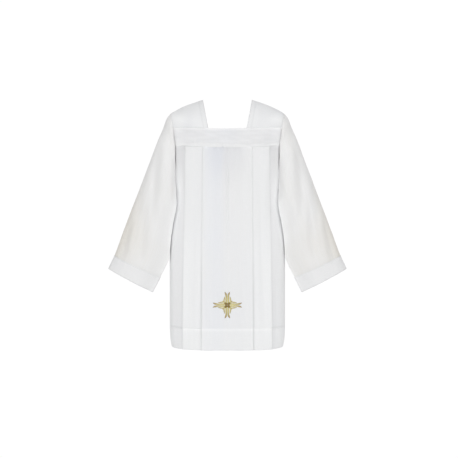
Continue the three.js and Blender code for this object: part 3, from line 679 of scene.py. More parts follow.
def stitch_rows(name, lines):
    """One mesh of all the stitches along lines of points, each given with the cloth's normals."""
    corners, quads, done = [], [], 0
    for points, normals in lines:
        centre, out = resampled(points, normals, STITCH_PITCH)
        if len(centre) < 2:
            continue
        ahead = unit(np.gradient(centre, axis=0))
        out = unit(out)
        aside = np.cross(ahead, out)
        profile = [(-0.5, 0.0), (-0.3, 1.0), (0.3, 1.0), (0.5, 0.0)]
        rings = []
        for place, fullness in profile:
            middle = centre + ahead * STITCH_LENGTH * place + out * (0.1 * fullness - 0.12)
            for side, rise in ((1, 0), (0, 1), (-1, 0), (0, -1)):
                wide = aside * side * STITCH_WIDTH / 2 * max(fullness, 0.25)
                rings.append(middle + wide + out * rise * STITCH_HEIGHT * max(fullness, 0.25))
        corners.append(np.stack(rings, axis=1).reshape(-1, 3))
        first = done + 16 * np.arange(len(centre))[:, None]
        for ring in range(3):
            for k in range(4):
                a, b = 4 * ring + k, 4 * ring + (k + 1) % 4
                quads.append(first + [a, b, b + 4, a + 4])
        quads += [first + [3, 2, 1, 0], first + [12, 13, 14, 15]]
        done += 16 * len(centre)
    mesh = smooth_mesh(name, (np.concatenate(corners) * MM).tolist(), np.concatenate(quads).tolist())
    mesh.validate()
    piece = placed(name, mesh)
    mesh.materials.append(thread_white)
    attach(piece, "root")
    return piece


def line_on(grid, face, row=None, column=None, ring=False):
    """A line of points on a piece's face, along one of its rows or columns, with the normals."""
    normals = surface_normals(grid, ring)
    pick = (row, slice(None)) if row is not None else (slice(None), column)
    points = (grid + normals * np.broadcast_to(face, grid.shape[:2])[..., None])[pick]
    return points, normals[pick]


HEM_STITCHES = int(np.argmin(np.abs(panel_rows() - HEM_LINE)))
for side, (piece, grid) in panel_pieces.items():
    piece.data.materials.append(white_cloth)
    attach(piece, "root")
    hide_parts(f"{side}_panel")
    stitches = stitch_rows(f"{side}_hem_stitches", [line_on(grid, FACE, row=HEM_STITCHES)])


# ---------------------------------------------------------------- yokes
# A straight band of doubled cloth across the chest and another across the back. Each is folded under along both long
# edges, pressed, and stitched down over the gathered head of its panel and over the shoulder pieces' ends.

YOKE_FACE, YOKE_BACK = 0.9, -0.9
YOKE_COLUMNS, YOKE_STITCH_ROWS = 213, (3, 27)
TOP_STITCHES, FOOT_STITCHES = 5.5, 6.5
# How dark the narrow shadow along the armhole's seam is.
ARMHOLE_SHADE = 1.8
PRESSED_WHITE = (0.836, 0.838, 0.842)
pressed_cloth = cloth_material("pressed_cloth", WHITE, COOL_WHITE, PRESSED_WHITE, 3.0)


def yoke_grid(seed):
    """A yoke's points from its top to its foot and from end to end, and its marks."""
    down = spaced((0, 0.12, 6), (0.12, 0.82, 18), (0.82, 1, 11))[:, None]
    across = np.linspace(-1, 1, YOKE_COLUMNS)[None, :]
    share_height = lambda x: lerp(yoke_edge(YOKE_TOP, YOKE_TOP_SAG, x), yoke_edge(YOKE_FOOT, YOKE_FOOT_SAG, x), down)
    end = armhole_on_body(share_height(np.array([[YOKE_END]])))[..., 0]
    x = across * end
    z = share_height(x)
    long = (YOKE_TOP - YOKE_FOOT) * np.ones_like(x)
    from_top, from_foot = down * long, (1 - down) * long
    from_end = end - np.abs(x)
    middle = near(x - 6, 62)

    # Its relief: folded edges, sunk rows of stitches, puckers of the gathers below it, and the armhole's seam.
    swell = 0.5 * near(from_foot - 9, 6) + 0.5 * near(from_top - 5, 3)
    swell = swell - 0.75 * fading(from_foot, 2.5) - 0.5 * near(from_top, 1.2)
    stitched = -0.15 * (near(from_foot - FOOT_STITCHES, 1.6) + near(from_top - TOP_STITCHES, 1.6))
    puckers = 2.0 * rumple(x, z, seed, 21, 40) * fading(from_foot, 17) * (0.2 + 0.8 * middle)
    soft = 0.8 * rumple(x, z, seed + 1, 75, 60) * smoothstep(from_end, 0, 30)
    tuck = -1.8 * near(from_end, 4.5)
    hollow = -1.6 * middle * np.sin(np.pi * down) ** 2
    out = swell + stitched + puckers + soft + tuck + hollow
    grid = on_body(z, np.sign(x) * length_at_x(z, x), -out)

    # Its tone: whiter over the turned-in edges, the foot's being uneven, and duller in patches between them. A
    # highlight is painted along its top and, away from the middle, along its foot, it is whiter toward its ends, it is
    # bluer left of the middle as painted shade, and a shadow is painted along the armhole's seam.
    foot_width = 15 + 4 * rumple(x, 0 * z, seed + 2, 40, 100)
    layers_and_painted_light = near(from_foot, foot_width, 4) + 0.9 * near(from_top, 5, 4)
    layers_and_painted_light = layers_and_painted_light + 0.6 * near(from_end, 30, 4) + 0.3 * rumple(x, z, seed + 3, 50, 30)
    seam = 0.7 * near(from_foot - foot_width, 3) + 0.3 * fading(from_top, 3)
    painted_light_and_tone = 0.7 * rumple(x, z, seed + 4, 34, 24) * smoothstep(from_foot, 10, 24)
    painted_light_and_tone = painted_light_and_tone - 2.0 * near(from_top, 8, 4) - 1.6 * near(from_end, 40, 4)
    painted_light_and_tone = painted_light_and_tone - 1.6 * fading(from_foot, 3) * (1 - middle)
    return grid, {
        "painted_light_and_tone": painted_light_and_tone,
        "layers_and_painted_light": np.clip(layers_and_painted_light - 0.25, 0, 1),
        "drift": 0.15 + 0.2 * near(x + 20, 60),
        "seam": np.clip(seam, 0, 1) + ARMHOLE_SHADE * lerp(0.2, 1, down) * near(from_end, 5),
    }


for side, seed in (("front", 5), ("back", 23)):
    grid, marks = yoke_grid(seed)
    if side == "back":
        grid, marks = turned(grid), {mark: values[:, ::-1] for mark, values in marks.items()}
    piece = shell(f"{side}_yoke_cloth", grid, YOKE_FACE, YOKE_BACK, marks=marks)
    piece.data.materials.append(pressed_cloth)
    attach(piece, "root")
    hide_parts(f"{side}_yoke")
    rows = [line_on(grid, YOKE_FACE, row=row) for row in YOKE_STITCH_ROWS]
    stitches = stitch_rows(f"{side}_yoke_stitches", rows)


# ---------------------------------------------------------------- shoulder pieces
# A straight piece on each side joins the two yokes over the shoulder and leaves the neck square. Its neck edge has a
# stitched facing, doubled cloth about 18 mm wide, and its outer edge is sewn into the head of the sleeve.

SHOULDER_FACE, SHOULDER_BACK, FACING_BACK = 0.45, -0.4, -1.0
SHOULDER_LENGTH, SHOULDER_ROWS = 170, 110
NECK_HALF_AT_YOKE, NECK_HALF_AT_RIDGE = 72, 95.5
NECK_FACING = 18
RIDGE = {"x": [95.5, 146, 185, 212, 222], "z": [0, -17, -33, -48, -55]}
ARCH_ROUNDNESS = 1.75


def shoulder_points(turn, share, foot_tuck=0.0):
    """The left shoulder piece's middle. A turn is negative at the front, and a share goes from neck to armhole."""
    ridge_x = lerp(NECK_HALF_AT_RIDGE, RIDGE["x"][-1], share)
    ridge_z = along(RIDGE, "x", "z", ridge_x)
    armhole_x = armhole_on_body(np.array(float(YOKE_TOP)))[0]
    foot_x = lerp(NECK_HALF_AT_YOKE, armhole_x, share)
    foot_z = yoke_edge(YOKE_TOP, YOKE_TOP_SAG, foot_x) - foot_tuck
    foot_y = on_body(foot_z, length_at_x(foot_z, foot_x))[..., 1]
    out = np.abs(np.sin(turn)) ** (2 / ARCH_ROUNDNESS)
    up = np.clip(np.cos(turn), 0, 1) ** (2 / ARCH_ROUNDNESS)
    y = -np.sign(turn) * foot_y * out
    return np.stack(np.broadcast_arrays(lerp(foot_x, ridge_x, up), y, lerp(foot_z, ridge_z, up)), -1)


def shoulder_grid(seed, greyness):
    """The left shoulder piece's points from front to back, its share of neck facing, and its marks."""
    turn = np.linspace(np.pi / 2, -np.pi / 2, SHOULDER_ROWS)[:, None]
    share = spaced((0, 0.2, 16), (0.2, 1, 30))[None, :]
    grid = shoulder_points(turn, share, HEAD_TUCK)
    above_yoke = grid[..., 2] - yoke_edge(YOKE_TOP, YOKE_TOP_SAG, grid[..., 0])
    across = np.linalg.norm(np.diff(grid, axis=1), axis=-1)
    from_neck = np.concatenate([np.zeros((len(grid), 1)), np.cumsum(across, axis=1)], axis=1)
    from_armhole = from_neck[:, -1:] - from_neck
    lengthwise = SHOULDER_LENGTH * turn / np.pi * np.ones_like(share)

    # Its relief: the facing and its stitches, gathers at the armhole, and the head and foot tucked under the yokes.
    facing = 1 - smoothstep(from_neck, NECK_FACING - 1, NECK_FACING + 1)
    out = 0.35 * facing - 0.5 * near(from_neck - NECK_FACING + 1.5, 1.5)
    out = out + 0.5 * near(from_neck, 2.5)
    out = out - 0.7 * near(from_armhole, 2.6) + 0.4 * near(from_armhole - 7, 4)
    gathers = rumple(lengthwise, from_neck, seed, 26, 60)
    out = out + 0.8 * gathers * fading(from_armhole, 18) * (1 - fading(from_armhole, 4))
    out = out + 0.9 * rumple(from_neck, lengthwise, seed + 1, 55, 110) * smoothstep(from_neck, 5, 40)
    out = out * smoothstep(above_yoke, 0, 12) - HEAD_TUCK_DEPTH * (1 - smoothstep(above_yoke, -0.5, 2.5))
    grid = grid + surface_normals(grid, False) * out[..., None]

    # Its tone: sewn edges, a highlight painted near the armhole, and a ridge greyed with painted shade.
    seam = 1.4 * near(from_neck - NECK_FACING + 1, 3) + fading(from_armhole, 6) + fading(from_neck, 4)
    light = near(from_armhole - 30, 28) * near(above_yoke - 34, 22)
    layers_and_painted_light = np.clip(0.55 + 0.1 * facing + 0.5 * light + 0.25 * rumple(from_neck, lengthwise, seed + 2, 40, 60), 0, 1)
    painted_light_and_tone = greyness * smoothstep(above_yoke, 25, 70) + 0.4 * facing - 1.0 * light
    return grid, facing, {"seam": seam, "layers_and_painted_light": layers_and_painted_light, "drift": 0.3, "painted_light_and_tone": painted_light_and_tone}


def mirrored(grid):
    """The same grid for the garment's other side, with its columns turned about so that its face stays outside."""
    return (grid * [-1, 1, 1])[:, ::-1]


for side, seed, greyness in (("left", 31, 0.3), ("right", 37, 0.8)):
    grid, facing, marks = shoulder_grid(seed, greyness)
    back = lerp(SHOULDER_BACK, FACING_BACK, facing)
    stitched = int(np.argmax(facing[0] < 0.5)) - 1
    if side == "right":
        grid, back, stitched = mirrored(grid), back[:, ::-1], grid.shape[1] - 1 - stitched
        marks = {mark: np.broadcast_to(values, grid.shape[:2])[:, ::-1] for mark, values in marks.items()}
    piece = shell(f"shoulder_{side}_cloth", grid, SHOULDER_FACE, back, marks=marks)
    piece.data.materials.append(white_cloth)
    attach(piece, "root")
    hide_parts(f"shoulder_{side}")
    stitches = stitch_rows(f"shoulder_{side}_stitches", [line_on(grid, SHOULDER_FACE, column=stitched)])


# ---------------------------------------------------------------- sleeves
# Each wide sleeve is one piece of the white cloth, sewn round the armhole. It hangs from the top of the arm in soft
# folds, flattened before and behind, and its inner edge lies beside the body.

SLEEVE = {
    "at": [0, 0.05, 0.12, 0.24, 0.42, 0.62, 0.8, 0.92, 1.0],
    "top_x": [222, 235, 250, 279, 319, 363, 402, 438, 461],
    "top_y": [0, 0, -1, -3, -6, -9, -12, -14, -15],
    "top_z": [-55, -72, -112, -188, -292, -407, -510, -608, -657],
    "fold_x": [196, 195, 193, 197, 208, 218, 225, 260, 288],
    "fold_y": [-58, -66, -75, -83, -71, -54, -52, -57, -60],
    "fold_z": [-318, -345, -385, -428, -480, -546, -612, -690, -746],
    "before": [44, 50, 56, 60, 54, 49, 46, 43, 42],
    "behind": [70, 70, 66, 58, 53, 50, 47, 44, 43],
    "swing": [0.35, 0.45, 0.55, 0.5, 0.35, 0.2, 0.1, 0, 0],
}
# The sleeve's folds: troughs that hang nearly upright, and ridges where the depth is below zero.
SLEEVE_TROUGHS = {
    "head_at": [262, 318, 372, 236, 290, 345, 300, 262],
    "head_z": [-150, -420, -450, -210, -260, -330, -250, -330],
    "foot_at": [296, 336, 412, 226, 304, 380, 352, 250],
    "foot_z": [-430, -640, -640, -560, -520, -650, -620, -640],
    "width": [17, 16, 15, 13, 12, 14, 13, 15],
    "depth": [7, 6.5, 8, 4, -3, -3.5, -3, -3],
}
SLEEVE_FACE, SLEEVE_BACK = 0.45, -0.4
BAND_START = 0.92
SLEEVE_LENGTH, SLEEVE_STITCH_ROW = 640, 5
# Columns round a sleeve, the column of its inner fold, and the cloth between two columns.
RING, FOLD, RING_STEP = 160, 96, 4.0
ARMHOLE_GAP, BODY_CLEARANCE, SEAM_CLEARANCE = 0.3, 3.4, 1.7
SLEEVE_ROUNDNESS, FOLD_SHARPNESS = 2.2, 3


def armhole_ring():
    """Points round the left armhole's edge, from the shoulder by the back and the underarm to the front."""
    over = shoulder_points(-np.linspace(0, np.pi / 2, 90), np.ones(90))
    straight = armhole_on_body(np.linspace(YOKE_TOP, ARMHOLE_CURVE_TOP, 60))
    curve = armhole_on_body(lerp(ARMHOLE_CURVE_TOP, UNDERARM, np.sin(np.linspace(0, np.pi / 2, 60)[1:])))
    front = np.concatenate([over, straight[1:], curve])
    reach = np.concatenate([[0], np.cumsum(np.linalg.norm(np.diff(front, axis=0), axis=1))])
    places = np.linspace(0, reach[-1], RING // 2 + 1)
    half = np.stack([np.interp(places, reach, front[:, k]) for k in range(3)], -1)
    return np.concatenate([half * [1, -1, 1], half[1:-1][::-1]]) + [ARMHOLE_GAP, 0, 0]


def clear_of_body(points, place):
    """Points moved off the body's section if they would lie in it."""
    gap = lerp(SEAM_CLEARANCE, BODY_CLEARANCE, smoothstep(place, 0, 0.04))[..., None]
    half_width, half_depth, power = section_row(points[..., 2])
    x, y = np.abs(points[..., :1]) / (half_width + gap), np.abs(points[..., 1:2]) / (half_depth + gap)
    inside = (x ** (2 / power) + y ** (2 / power)) ** (power / 2)
    free = (inside >= 1) | (points[..., 2:] > YOKE_TOP)
    return points / np.concatenate([np.where(free, 1, inside)] * 2 + [np.ones_like(inside)], axis=-1)


def sleeve_grid(places, seed):
    """The left sleeve's middle: rows go from the armhole down, and columns from the top round by the back."""
    place = np.asarray(places)[:, None]
    value = lambda column: along(SLEEVE, "at", column, place)
    top, fold = (np.stack([value(f"{edge}_{axis}") for axis in "xyz"], -1) for edge in ("top", "fold"))
    half = (top - fold) / 2
    index = np.arange(RING)[None, :]
    behind = index < FOLD
    angle = np.pi * np.where(behind, index / FOLD, 1 + (index - FOLD) / (RING - FOLD))
    power = 2 / SLEEVE_ROUNDNESS
    upward = (np.sign(np.cos(angle)) * np.abs(np.cos(angle)) ** power)[..., None]
    flattened = np.where(behind, power, lerp(power, FOLD_SHARPNESS, smoothstep(-np.cos(angle), -0.1, 0.8)))
    outward = (np.abs(np.sin(angle)) ** flattened)[..., None]

    def square(x, y):
        v = np.stack([x, y, 0 * x], -1)
        return unit(v - half * np.sum(v * half, -1, keepdims=True) / np.sum(half * half, -1, keepdims=True))

    one = np.ones_like(place)
    away = np.where(behind[..., None], square(value("swing"), one), square(0 * one, -one))
    stands = np.where(behind, value("behind"), value("before"))[..., None]
    own = (top + fold) / 2 + half * upward + away * stands * outward
    own = own - away * outward * troughs(SLEEVE_TROUGHS, own[..., 0], own[..., 2])[..., None]
    with_top = np.where(behind, 1 - (index / FOLD) ** 4, 0.5 + 0.5 * upward[..., 0])[..., None]
    head, foot = (np.array([SLEEVE[f"{edge}_{axis}"][0] for axis in "xyz"]) for edge in ("top", "fold"))
    seam = armhole_ring()[None] + lerp(fold - foot, top - head, with_top)
    grid = lerp(seam, own, smoothstep(place, 0, 0.2)[..., None])
    grid = clear_of_body(grid, place)
    run = SLEEVE_LENGTH * place * np.ones(RING)
    round_way = RING_STEP * index * np.ones_like(place)

    # Its relief: gathers at the armhole, soft wrinkles away from the fold and the top, and the crevice of the seam.
    beside = smoothstep(np.abs(index - FOLD), 10, 26) * smoothstep(index, 0, 6) * smoothstep(RING - index, 0, 6)
    gathers = 1.1 * rumple(round_way, run, seed, 26, 90) * fading(run, 30) * (1 - fading(run, 5))
    soft = 1.6 * rumple(round_way, run, seed + 1, 60, 260) + 0.6 * rumple(round_way, run, seed + 2, 24, 110)
    slack = smoothstep(run, 20, 120)
    crevice = armhole_crevice(run, index)
    fullness = 3.5 * near(run - 22, 14) * armhole_crevice(0 * run, index)
    inward = soft * slack * beside + gathers * beside + 2.6 * crevice - fullness
    return grid - surface_normals(grid, True) * inward[..., None]


def armhole_crevice(run, index):
    """How deep the seam lies beside the front of the armhole, under the fullness of the sleeve."""
    beside = smoothstep(index, FOLD + 16, FOLD + 28) * (1 - smoothstep(index, RING - 26, RING - 8))
    behind = smoothstep(index, 14, 32) * (1 - smoothstep(index, FOLD - 26, FOLD - 8))
    return (beside + behind) * near(run, 7)


def with_tucked_head(grid):
    """The sleeve with its seam allowance, which lies inside the edge of the armhole."""
    out = surface_normals(grid, True)[0]
    inner = [grid[0] - out * deep - [wide, 0, 0] for wide, deep in ((4.0, 1.9), (1.3, 1.3))]
    return np.concatenate([np.stack(inner), grid])


def sleeve_rows():
    return spaced((0, 0.03, 8), (0.03, 0.9, 96), (0.9, BAND_START, 7))


def turned_ring(values):
    """Values round a ring in the order of the other sleeve's columns, which start at the top too."""
    return np.roll(values[:, ::-1], 1, axis=1)


# The sleeve's second tone is warmer and darker. It shows in random patches and streaks and as shade painted near the
# sleeve's top and outer side, lower down.
WARM_WHITE = (0.775, 0.75, 0.70)
SLEEVE_WHITE = (0.832, 0.831, 0.828)
SLEEVE_SEEDS = {"left": 61, "right": 73}
sleeve_cloth = cloth_material("sleeve_cloth", SLEEVE_WHITE, WARM_WHITE, WHITE_OF_DOUBLED_CLOTH_AND_PAINTED_LIGHT, 4.5)
for side, seed in SLEEVE_SEEDS.items():
    grid = with_tucked_head(sleeve_grid(sleeve_rows(), seed))
    rows = np.concatenate([[0, 0], sleeve_rows()])[:, None] * SLEEVE_LENGTH
    from_top = np.minimum(np.arange(RING), RING - np.arange(RING))[None, :] * RING_STEP
    shade = armhole_crevice(rows, np.arange(RING)[None, :])
    shade = shade * lerp(1, 0.2, smoothstep(armhole_ring()[None, :, 2], YOKE_FOOT - 4, YOKE_FOOT + 34))
    # Warm, darker shade painted near the sleeve's top and outer side, growing lower down.
    warmer_painted_shade = near(from_top, 85) * smoothstep(rows, 150, 560) + 0.12 * smoothstep(rows, 330, 560)
    from_fold = RING_STEP * np.abs(np.arange(RING) - FOLD)[None, :]
    # Its marks: seams with the shadow painted along the armhole, light painted beside its inner fold against the shade
    # of the crevice by the body, and a little light painted over its middle length.
    marks = {
        "seam": fading(rows, 7) + fading(rows[-1] - rows, 6) + ARMHOLE_SHADE * shade,
        "drift": warmer_painted_shade,
        "layers_and_painted_light": near(from_fold, 45) * (1 - 0.9 * smoothstep(rows, 250, 500)),
        "painted_light_and_tone": -1.6 * near(from_fold, 48) * (1 - smoothstep(rows, 380, 500))
        - 2.6 * near(from_fold, 10) * smoothstep(rows, 250, 350)
        - 0.25 * smoothstep(rows, 120, 220) * (1 - smoothstep(rows, 380, 480))
        - 1.3 * near(from_fold, 44) * near(rows - 90, 50),
    }
    if side == "right":
        grid = turned_ring(grid * [-1, 1, 1])
        marks = {mark: turned_ring(values) for mark, values in marks.items()}
    piece = shell(f"sleeve_{side}_cloth", grid, SLEEVE_FACE, SLEEVE_BACK, ring=True, marks=marks)
    piece.data.materials.append(sleeve_cloth)
    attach(piece, "root")
    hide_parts(f"sleeve_front_{side}", f"sleeve_back_{side}")
    stitches = stitch_rows(f"sleeve_{side}_stitches", [line_on(grid, SLEEVE_FACE, row=SLEEVE_STITCH_ROW, ring=True)])


# ---------------------------------------------------------------- sleeve bands
# A straight doubled band, about 56 mm deep, is sewn round each sleeve's mouth, pressed flat and stitched along its
# top. Its lower edge is a fold of the cloth.

BAND_FACE, BAND_BACK = 1.3, -0.5
BAND_DEPTH, BAND_STITCH_ROW = 56, 3
for side, seed in SLEEVE_SEEDS.items():
    share = spaced((0, 0.16, 6), (0.16, 1, 18))
    grid = sleeve_grid(lerp(BAND_START - 0.002, 1.0, share), seed)
    down = share[:, None] * BAND_DEPTH
    round_way = RING_STEP * np.arange(RING)[None, :]
    out = 0.5 * near(down, 3, 4) - 0.5 * near(down - 5, 1.6)
    out = out + 0.45 * rumple(round_way, down, seed + 5, 18, 40) * fading(down, 14)
    grid = grid + surface_normals(grid, True) * (out * np.ones_like(round_way))[..., None]
    if side == "right":
        grid = turned_ring(grid * [-1, 1, 1])
    marks = {
        "seam": np.clip(fading(down, 7) + fading(down[-1] - down, 3), 0, 1),
        "layers_and_painted_light": 0.75 + 0.25 * near(down, 9, 4),
        "drift": 0.0,
    }
    rounded = 1 - 0.9 * smoothstep(down, BAND_DEPTH - 1.5, BAND_DEPTH) ** 2
    piece = shell(f"sleeve_band_{side}_cloth", grid, BAND_FACE * rounded, BAND_BACK, ring=True, marks=marks)
    piece.data.materials.append(pressed_cloth)
    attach(piece, "root")
    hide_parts(f"sleeve_band_{side}")
    line = line_on(grid, BAND_FACE, row=BAND_STITCH_ROW, ring=True)
    stitches = stitch_rows(f"sleeve_band_{side}_stitches", [line])


# ---------------------------------------------------------------- embroidered cross
# A cross of gold thread is embroidered through the front panel. It is all satin stitch: two long strokes make each
# arm and part at its tip, short leaves fill the corners between the arms, and a small rosette covers the middle.

CROSS_CENTRE_Z = -790
CROSS_HEIGHT_SHARE = 0.9
THREAD_STEP, THREAD_PITCH, THREAD_SLANT = 0.3, 1.2, 0.7
SATIN_HEIGHT, SATIN_SUNK = 1.25, 0.35
# Strokes of one arm that points along u, each given from end to end: width, and tone from pale to brown.
CROSS_STROKES = [
    {"u": [3, 18, 34, 45, 55], "v": [2.6, 4.2, 3.6, 5.4, 9.6], "width": [4.4, 8.0, 6.8, 8.0, 2.0],
     "tone": [0.0, 0.05, 0.25, 0.6, 1.0]},
    {"u": [12, 19, 28, 37], "v": [13.2, 12.6, 11.0, 9.6], "width": [1.6, 5.6, 5.0, 1.0], "tone": [0.5, 0.2, 0.4, 0.7]},
    {"u": [6.2, 12, 18.5], "v": [6.2, 12, 18.5], "width": [3.0, 8.6, 1.0], "tone": [0.4, 0.15, 0.6]},
]
# One lobe of the rosette in the middle, along a diagonal. It is worked over the strokes' ends and stands above them.
ROSETTE_LOBE = {
    "u": [0.4, 3.2, 7.4, 9.8], "v": [0.4, 3.2, 7.4, 9.8], "width": [4.0, 9.6, 10.4, 4.0], "tone": [1.1, 1.6, 1.7, 1.5],
    "raised": 0.8,
}
PALE_GOLD, BROWN_GOLD, OLIVE_GOLD = (0.64, 0.58, 0.235), (0.34, 0.255, 0.13), (0.20, 0.135, 0.025)


def satin_stroke(stroke, quarter, mirror):
    """A satin stroke's points as left-right, up and lift from the cloth, with its tones and thread places. Its threads
    lie across it with a slant. They crown it, and each stands a little above the next."""
    u, v = np.array(stroke["u"], float), np.array(stroke["v"], float)
    table = {**stroke, "at": np.concatenate([[0], np.cumsum(np.hypot(np.diff(u), np.diff(v)))])}
    places = np.arange(0, table["at"][-1], THREAD_STEP)
    u, v, width, tone = (along(table, "at", column, places) for column in ("u", "v", "width", "tone"))
    ahead = unit(np.stack([np.gradient(u), np.gradient(v)], -1))
    across = np.linspace(-1, 1, 9)[None, :]
    ridge = 0.5 + 0.5 * np.cos(2 * np.pi * (places[:, None] + THREAD_SLANT * across) / THREAD_PITCH)
    half = width[:, None] / 2 * (1 + 0.05 * ridge)
    u = u[:, None] - ahead[:, 1:] * across * half
    v = v[:, None] + ahead[:, :1] * across * half
    crown = (1 - across**2) ** 0.5 * np.clip(width[:, None] / 3.2, 0.3, 1)
    lift = SATIN_HEIGHT * crown * (0.74 + 0.26 * ridge) - SATIN_SUNK + stroke.get("raised", 0)
    middle = slice(4, 5)
    u, v = np.concatenate([u, u[:, middle]], 1), np.concatenate([v, v[:, middle]], 1)
    lift = np.concatenate([lift, np.full_like(lift[:, middle], -2 * SATIN_SUNK)], 1)
    turn = np.pi / 2 * quarter
    v = -v if mirror else v
    aside, up = u * np.cos(turn) - v * np.sin(turn), u * np.sin(turn) + v * np.cos(turn)
    threads = np.stack(np.broadcast_arrays(places[:, None], np.append(across, 0) * width[:, None] / 2), -1)
    # The tones are painted darker between the threads' crowns: shade painted in the grooves.
    tones = np.broadcast_to(tone[:, None] + 0.35 * (1 - np.append(ridge, ridge[:, :1], 1)), u.shape)
    return np.stack([aside, CROSS_CENTRE_Z + CROSS_HEIGHT_SHARE * up, lift], -1), tones, threads


def cross_mesh(under):
    """All the strokes as one mesh that lies on the cloth of a panel."""
    cloth = BVHTree.FromObject(under, bpy.context.evaluated_depsgraph_get())
    strokes = [(stroke, quarter, mirror) for stroke in CROSS_STROKES for quarter in range(4) for mirror in (0, 1)]
    strokes = [given for given in strokes if not (given[2] and given[0]["u"] == given[0]["v"])]
    strokes += [(ROSETTE_LOBE, quarter, 0) for quarter in range(4)]
    points, faces, tones, threads, done = [], [], [], [], 0
    for given in strokes:
        grid, tone, thread = satin_stroke(*given)
        rows, columns = grid.shape[:2]
        for x, z, lift in grid.reshape(-1, 3):
            hit = cloth.ray_cast(Vector((x * MM, -0.5, z * MM)), Vector((0, 1, 0)))[0]
            points.append((x * MM, hit.y - lift * MM, z * MM))
        index = done + np.arange(rows * columns).reshape(rows, columns)
        after = np.roll(index, -1, axis=1)
        faces += np.stack([index[:-1], index[1:], after[1:], after[:-1]], -1).reshape(-1, 4).tolist()
        faces += [index[0].tolist(), index[-1][::-1].tolist()]
        tones.append(tone.ravel())
        threads.append(thread.reshape(-1, 2))
        done += rows * columns
    mesh = smooth_mesh("cross_stitches", points, faces)
    mesh.attributes.new("tone", "FLOAT", "POINT").data.foreach_set("value", np.concatenate(tones).astype(np.float32))
    loops = np.empty(len(mesh.loops), np.int32)
    mesh.loops.foreach_get("vertex_index", loops)
    places = (np.concatenate(threads) * MM)[loops].astype(np.float32)
    mesh.uv_layers.new(name="thread").data.foreach_set("uv", places.ravel())
    shape = bmesh.new()
    shape.from_mesh(mesh)
    bmesh.ops.recalc_face_normals(shape, faces=shape.faces)
    shape.to_mesh(mesh)
    shape.free()
    return mesh


def gold_thread_material():
    """Twisted gold thread: pale and brown strands by their tone, uneven along each strand, with shade painted
    between the threads' crowns so that each crown shows brighter.
    """
    material, tree, shader = principled("gold_thread", PALE_GOLD, 0.38, metallic=0.35, specular_ior_level=0.5)
    tone = add(tree, "ShaderNodeAttribute", attribute_name="tone").outputs["Fac"]
    thread = add(tree, "ShaderNodeUVMap", uv_map="thread").outputs[0]
    strands = noise(tree, thread, (2600.0, 160.0, 1.0), 1.0)
    patches = noise(tree, thread, (260.0, 260.0, 1.0), 1.0)
    uneven = maths(tree, "SUBTRACT", maths(tree, "ADD", strands, patches), 1.0)
    tone = maths(tree, "ADD", tone, maths(tree, "MULTIPLY", uneven, 0.9))
    brown = add(tree, "ShaderNodeClamp", {"Value": tone}).outputs[0]
    olive = add(tree, "ShaderNodeClamp", {"Value": maths(tree, "SUBTRACT", tone, 1.0)}).outputs[0]
    colour = mixed(tree, olive, mixed(tree, brown, (*PALE_GOLD, 1), (*BROWN_GOLD, 1)), (*OLIVE_GOLD, 1))
    bump = add(tree, "ShaderNodeBump", {"Height": strands}, {"Strength": 1.0, "Distance": RELIEF_UNIT})
    tree.links.new(colour, shader.inputs["Base Color"])
    tree.links.new(bump.outputs["Normal"], shader.inputs["Normal"])
    return material


cross = placed("cross_stitches", cross_mesh(panel_pieces["front"][0]))
cross.data.materials.append(gold_thread_material())
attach(cross, "root")
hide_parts("cross_embroidery")


# ---------------------------------------------------------------- floor, light and camera
# The garment is worn at shoulder height, so the pale studio floor lies well below its hem.

FLOOR_Z, FLOOR_RADIUS, RIM_POINTS = -1.45, 14.0, 96
SURROUND_SEEN, SURROUND_LIGHTING = 1.02, 0.65
turns = np.linspace(0, 2 * np.pi, RIM_POINTS + 1)[:-1]
rim = [(FLOOR_RADIUS * np.cos(turn), FLOOR_RADIUS * np.sin(turn), FLOOR_Z) for turn in turns]
floor_mesh = bpy.data.meshes.new("floor")
floor_mesh.from_pydata(rim, [], [list(range(RIM_POINTS))])
floor = placed("floor", floor_mesh)


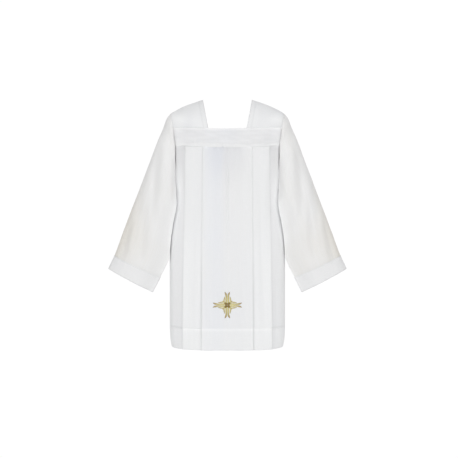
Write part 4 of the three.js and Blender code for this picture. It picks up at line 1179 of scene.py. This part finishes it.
def white_surround(tree, kind, output):
    """A surround that is seen as plain white and lights the garment with its own softer strength."""
    seen = tree.nodes.new("ShaderNodeLightPath").outputs["Is Camera Ray"]
    extra = maths(tree, "MULTIPLY", seen, SURROUND_SEEN - SURROUND_LIGHTING)
    strength = maths(tree, "ADD", extra, SURROUND_LIGHTING)
    shader = tree.nodes.new(kind)
    shader.inputs["Color"].default_value = (1, 1, 1, 1)
    tree.links.new(strength, shader.inputs["Strength"])
    tree.links.new(shader.outputs[0], output.inputs["Surface"])


floor_finish = bpy.data.materials.new("floor_finish")
floor_finish.use_nodes = True
floor_tree = floor_finish.node_tree
floor_tree.nodes.remove(floor_tree.nodes["Principled BSDF"])
white_surround(floor_tree, "ShaderNodeEmission", floor_tree.nodes["Material Output"])
floor_mesh.materials.append(floor_finish)

world = bpy.data.worlds.new("studio")
bpy.context.scene.world = world
world.use_nodes = True
world_tree = world.node_tree
world_tree.nodes.remove(world_tree.nodes["Background"])
white_surround(world_tree, "ShaderNodeBackground", world_tree.nodes["World Output"])

SOFTBOXES = {
    "name": ["front", "side_left", "side_right", "over"],
    "place": [(0.0, -4.9, -1.0), (-2.4, -3.3, -1.0), (2.4, -3.3, -1.0), (0.0, -0.9, 2.6)],
    "size": [2.4, 1.6, 1.6, 2.0],
    "power": [86, 13, 13, 14],
}
for name, place, size, power in zip(*SOFTBOXES.values()):
    lamp = bpy.data.lights.new(name, "AREA")
    lamp.shape = "SQUARE"
    lamp.size = size
    lamp.energy = power
    box = placed(name, lamp)
    box.location = place
    aim = np.array([0, 0, -0.5]) - place
    box.rotation_mode = "QUATERNION"
    box.rotation_quaternion = Vector(aim).to_track_quat("-Z", "Y")

camera = bpy.data.cameras.new("camera")
camera.sensor_width = 36
camera.lens = 80.62
viewer = placed("camera", camera)
viewer.location = (0.0062, -4.0, -0.5031)
viewer.rotation_euler = (np.pi / 2, 0, 0)
bpy.context.scene.camera = viewer
bpy.context.scene.view_settings.view_transform = "Standard"
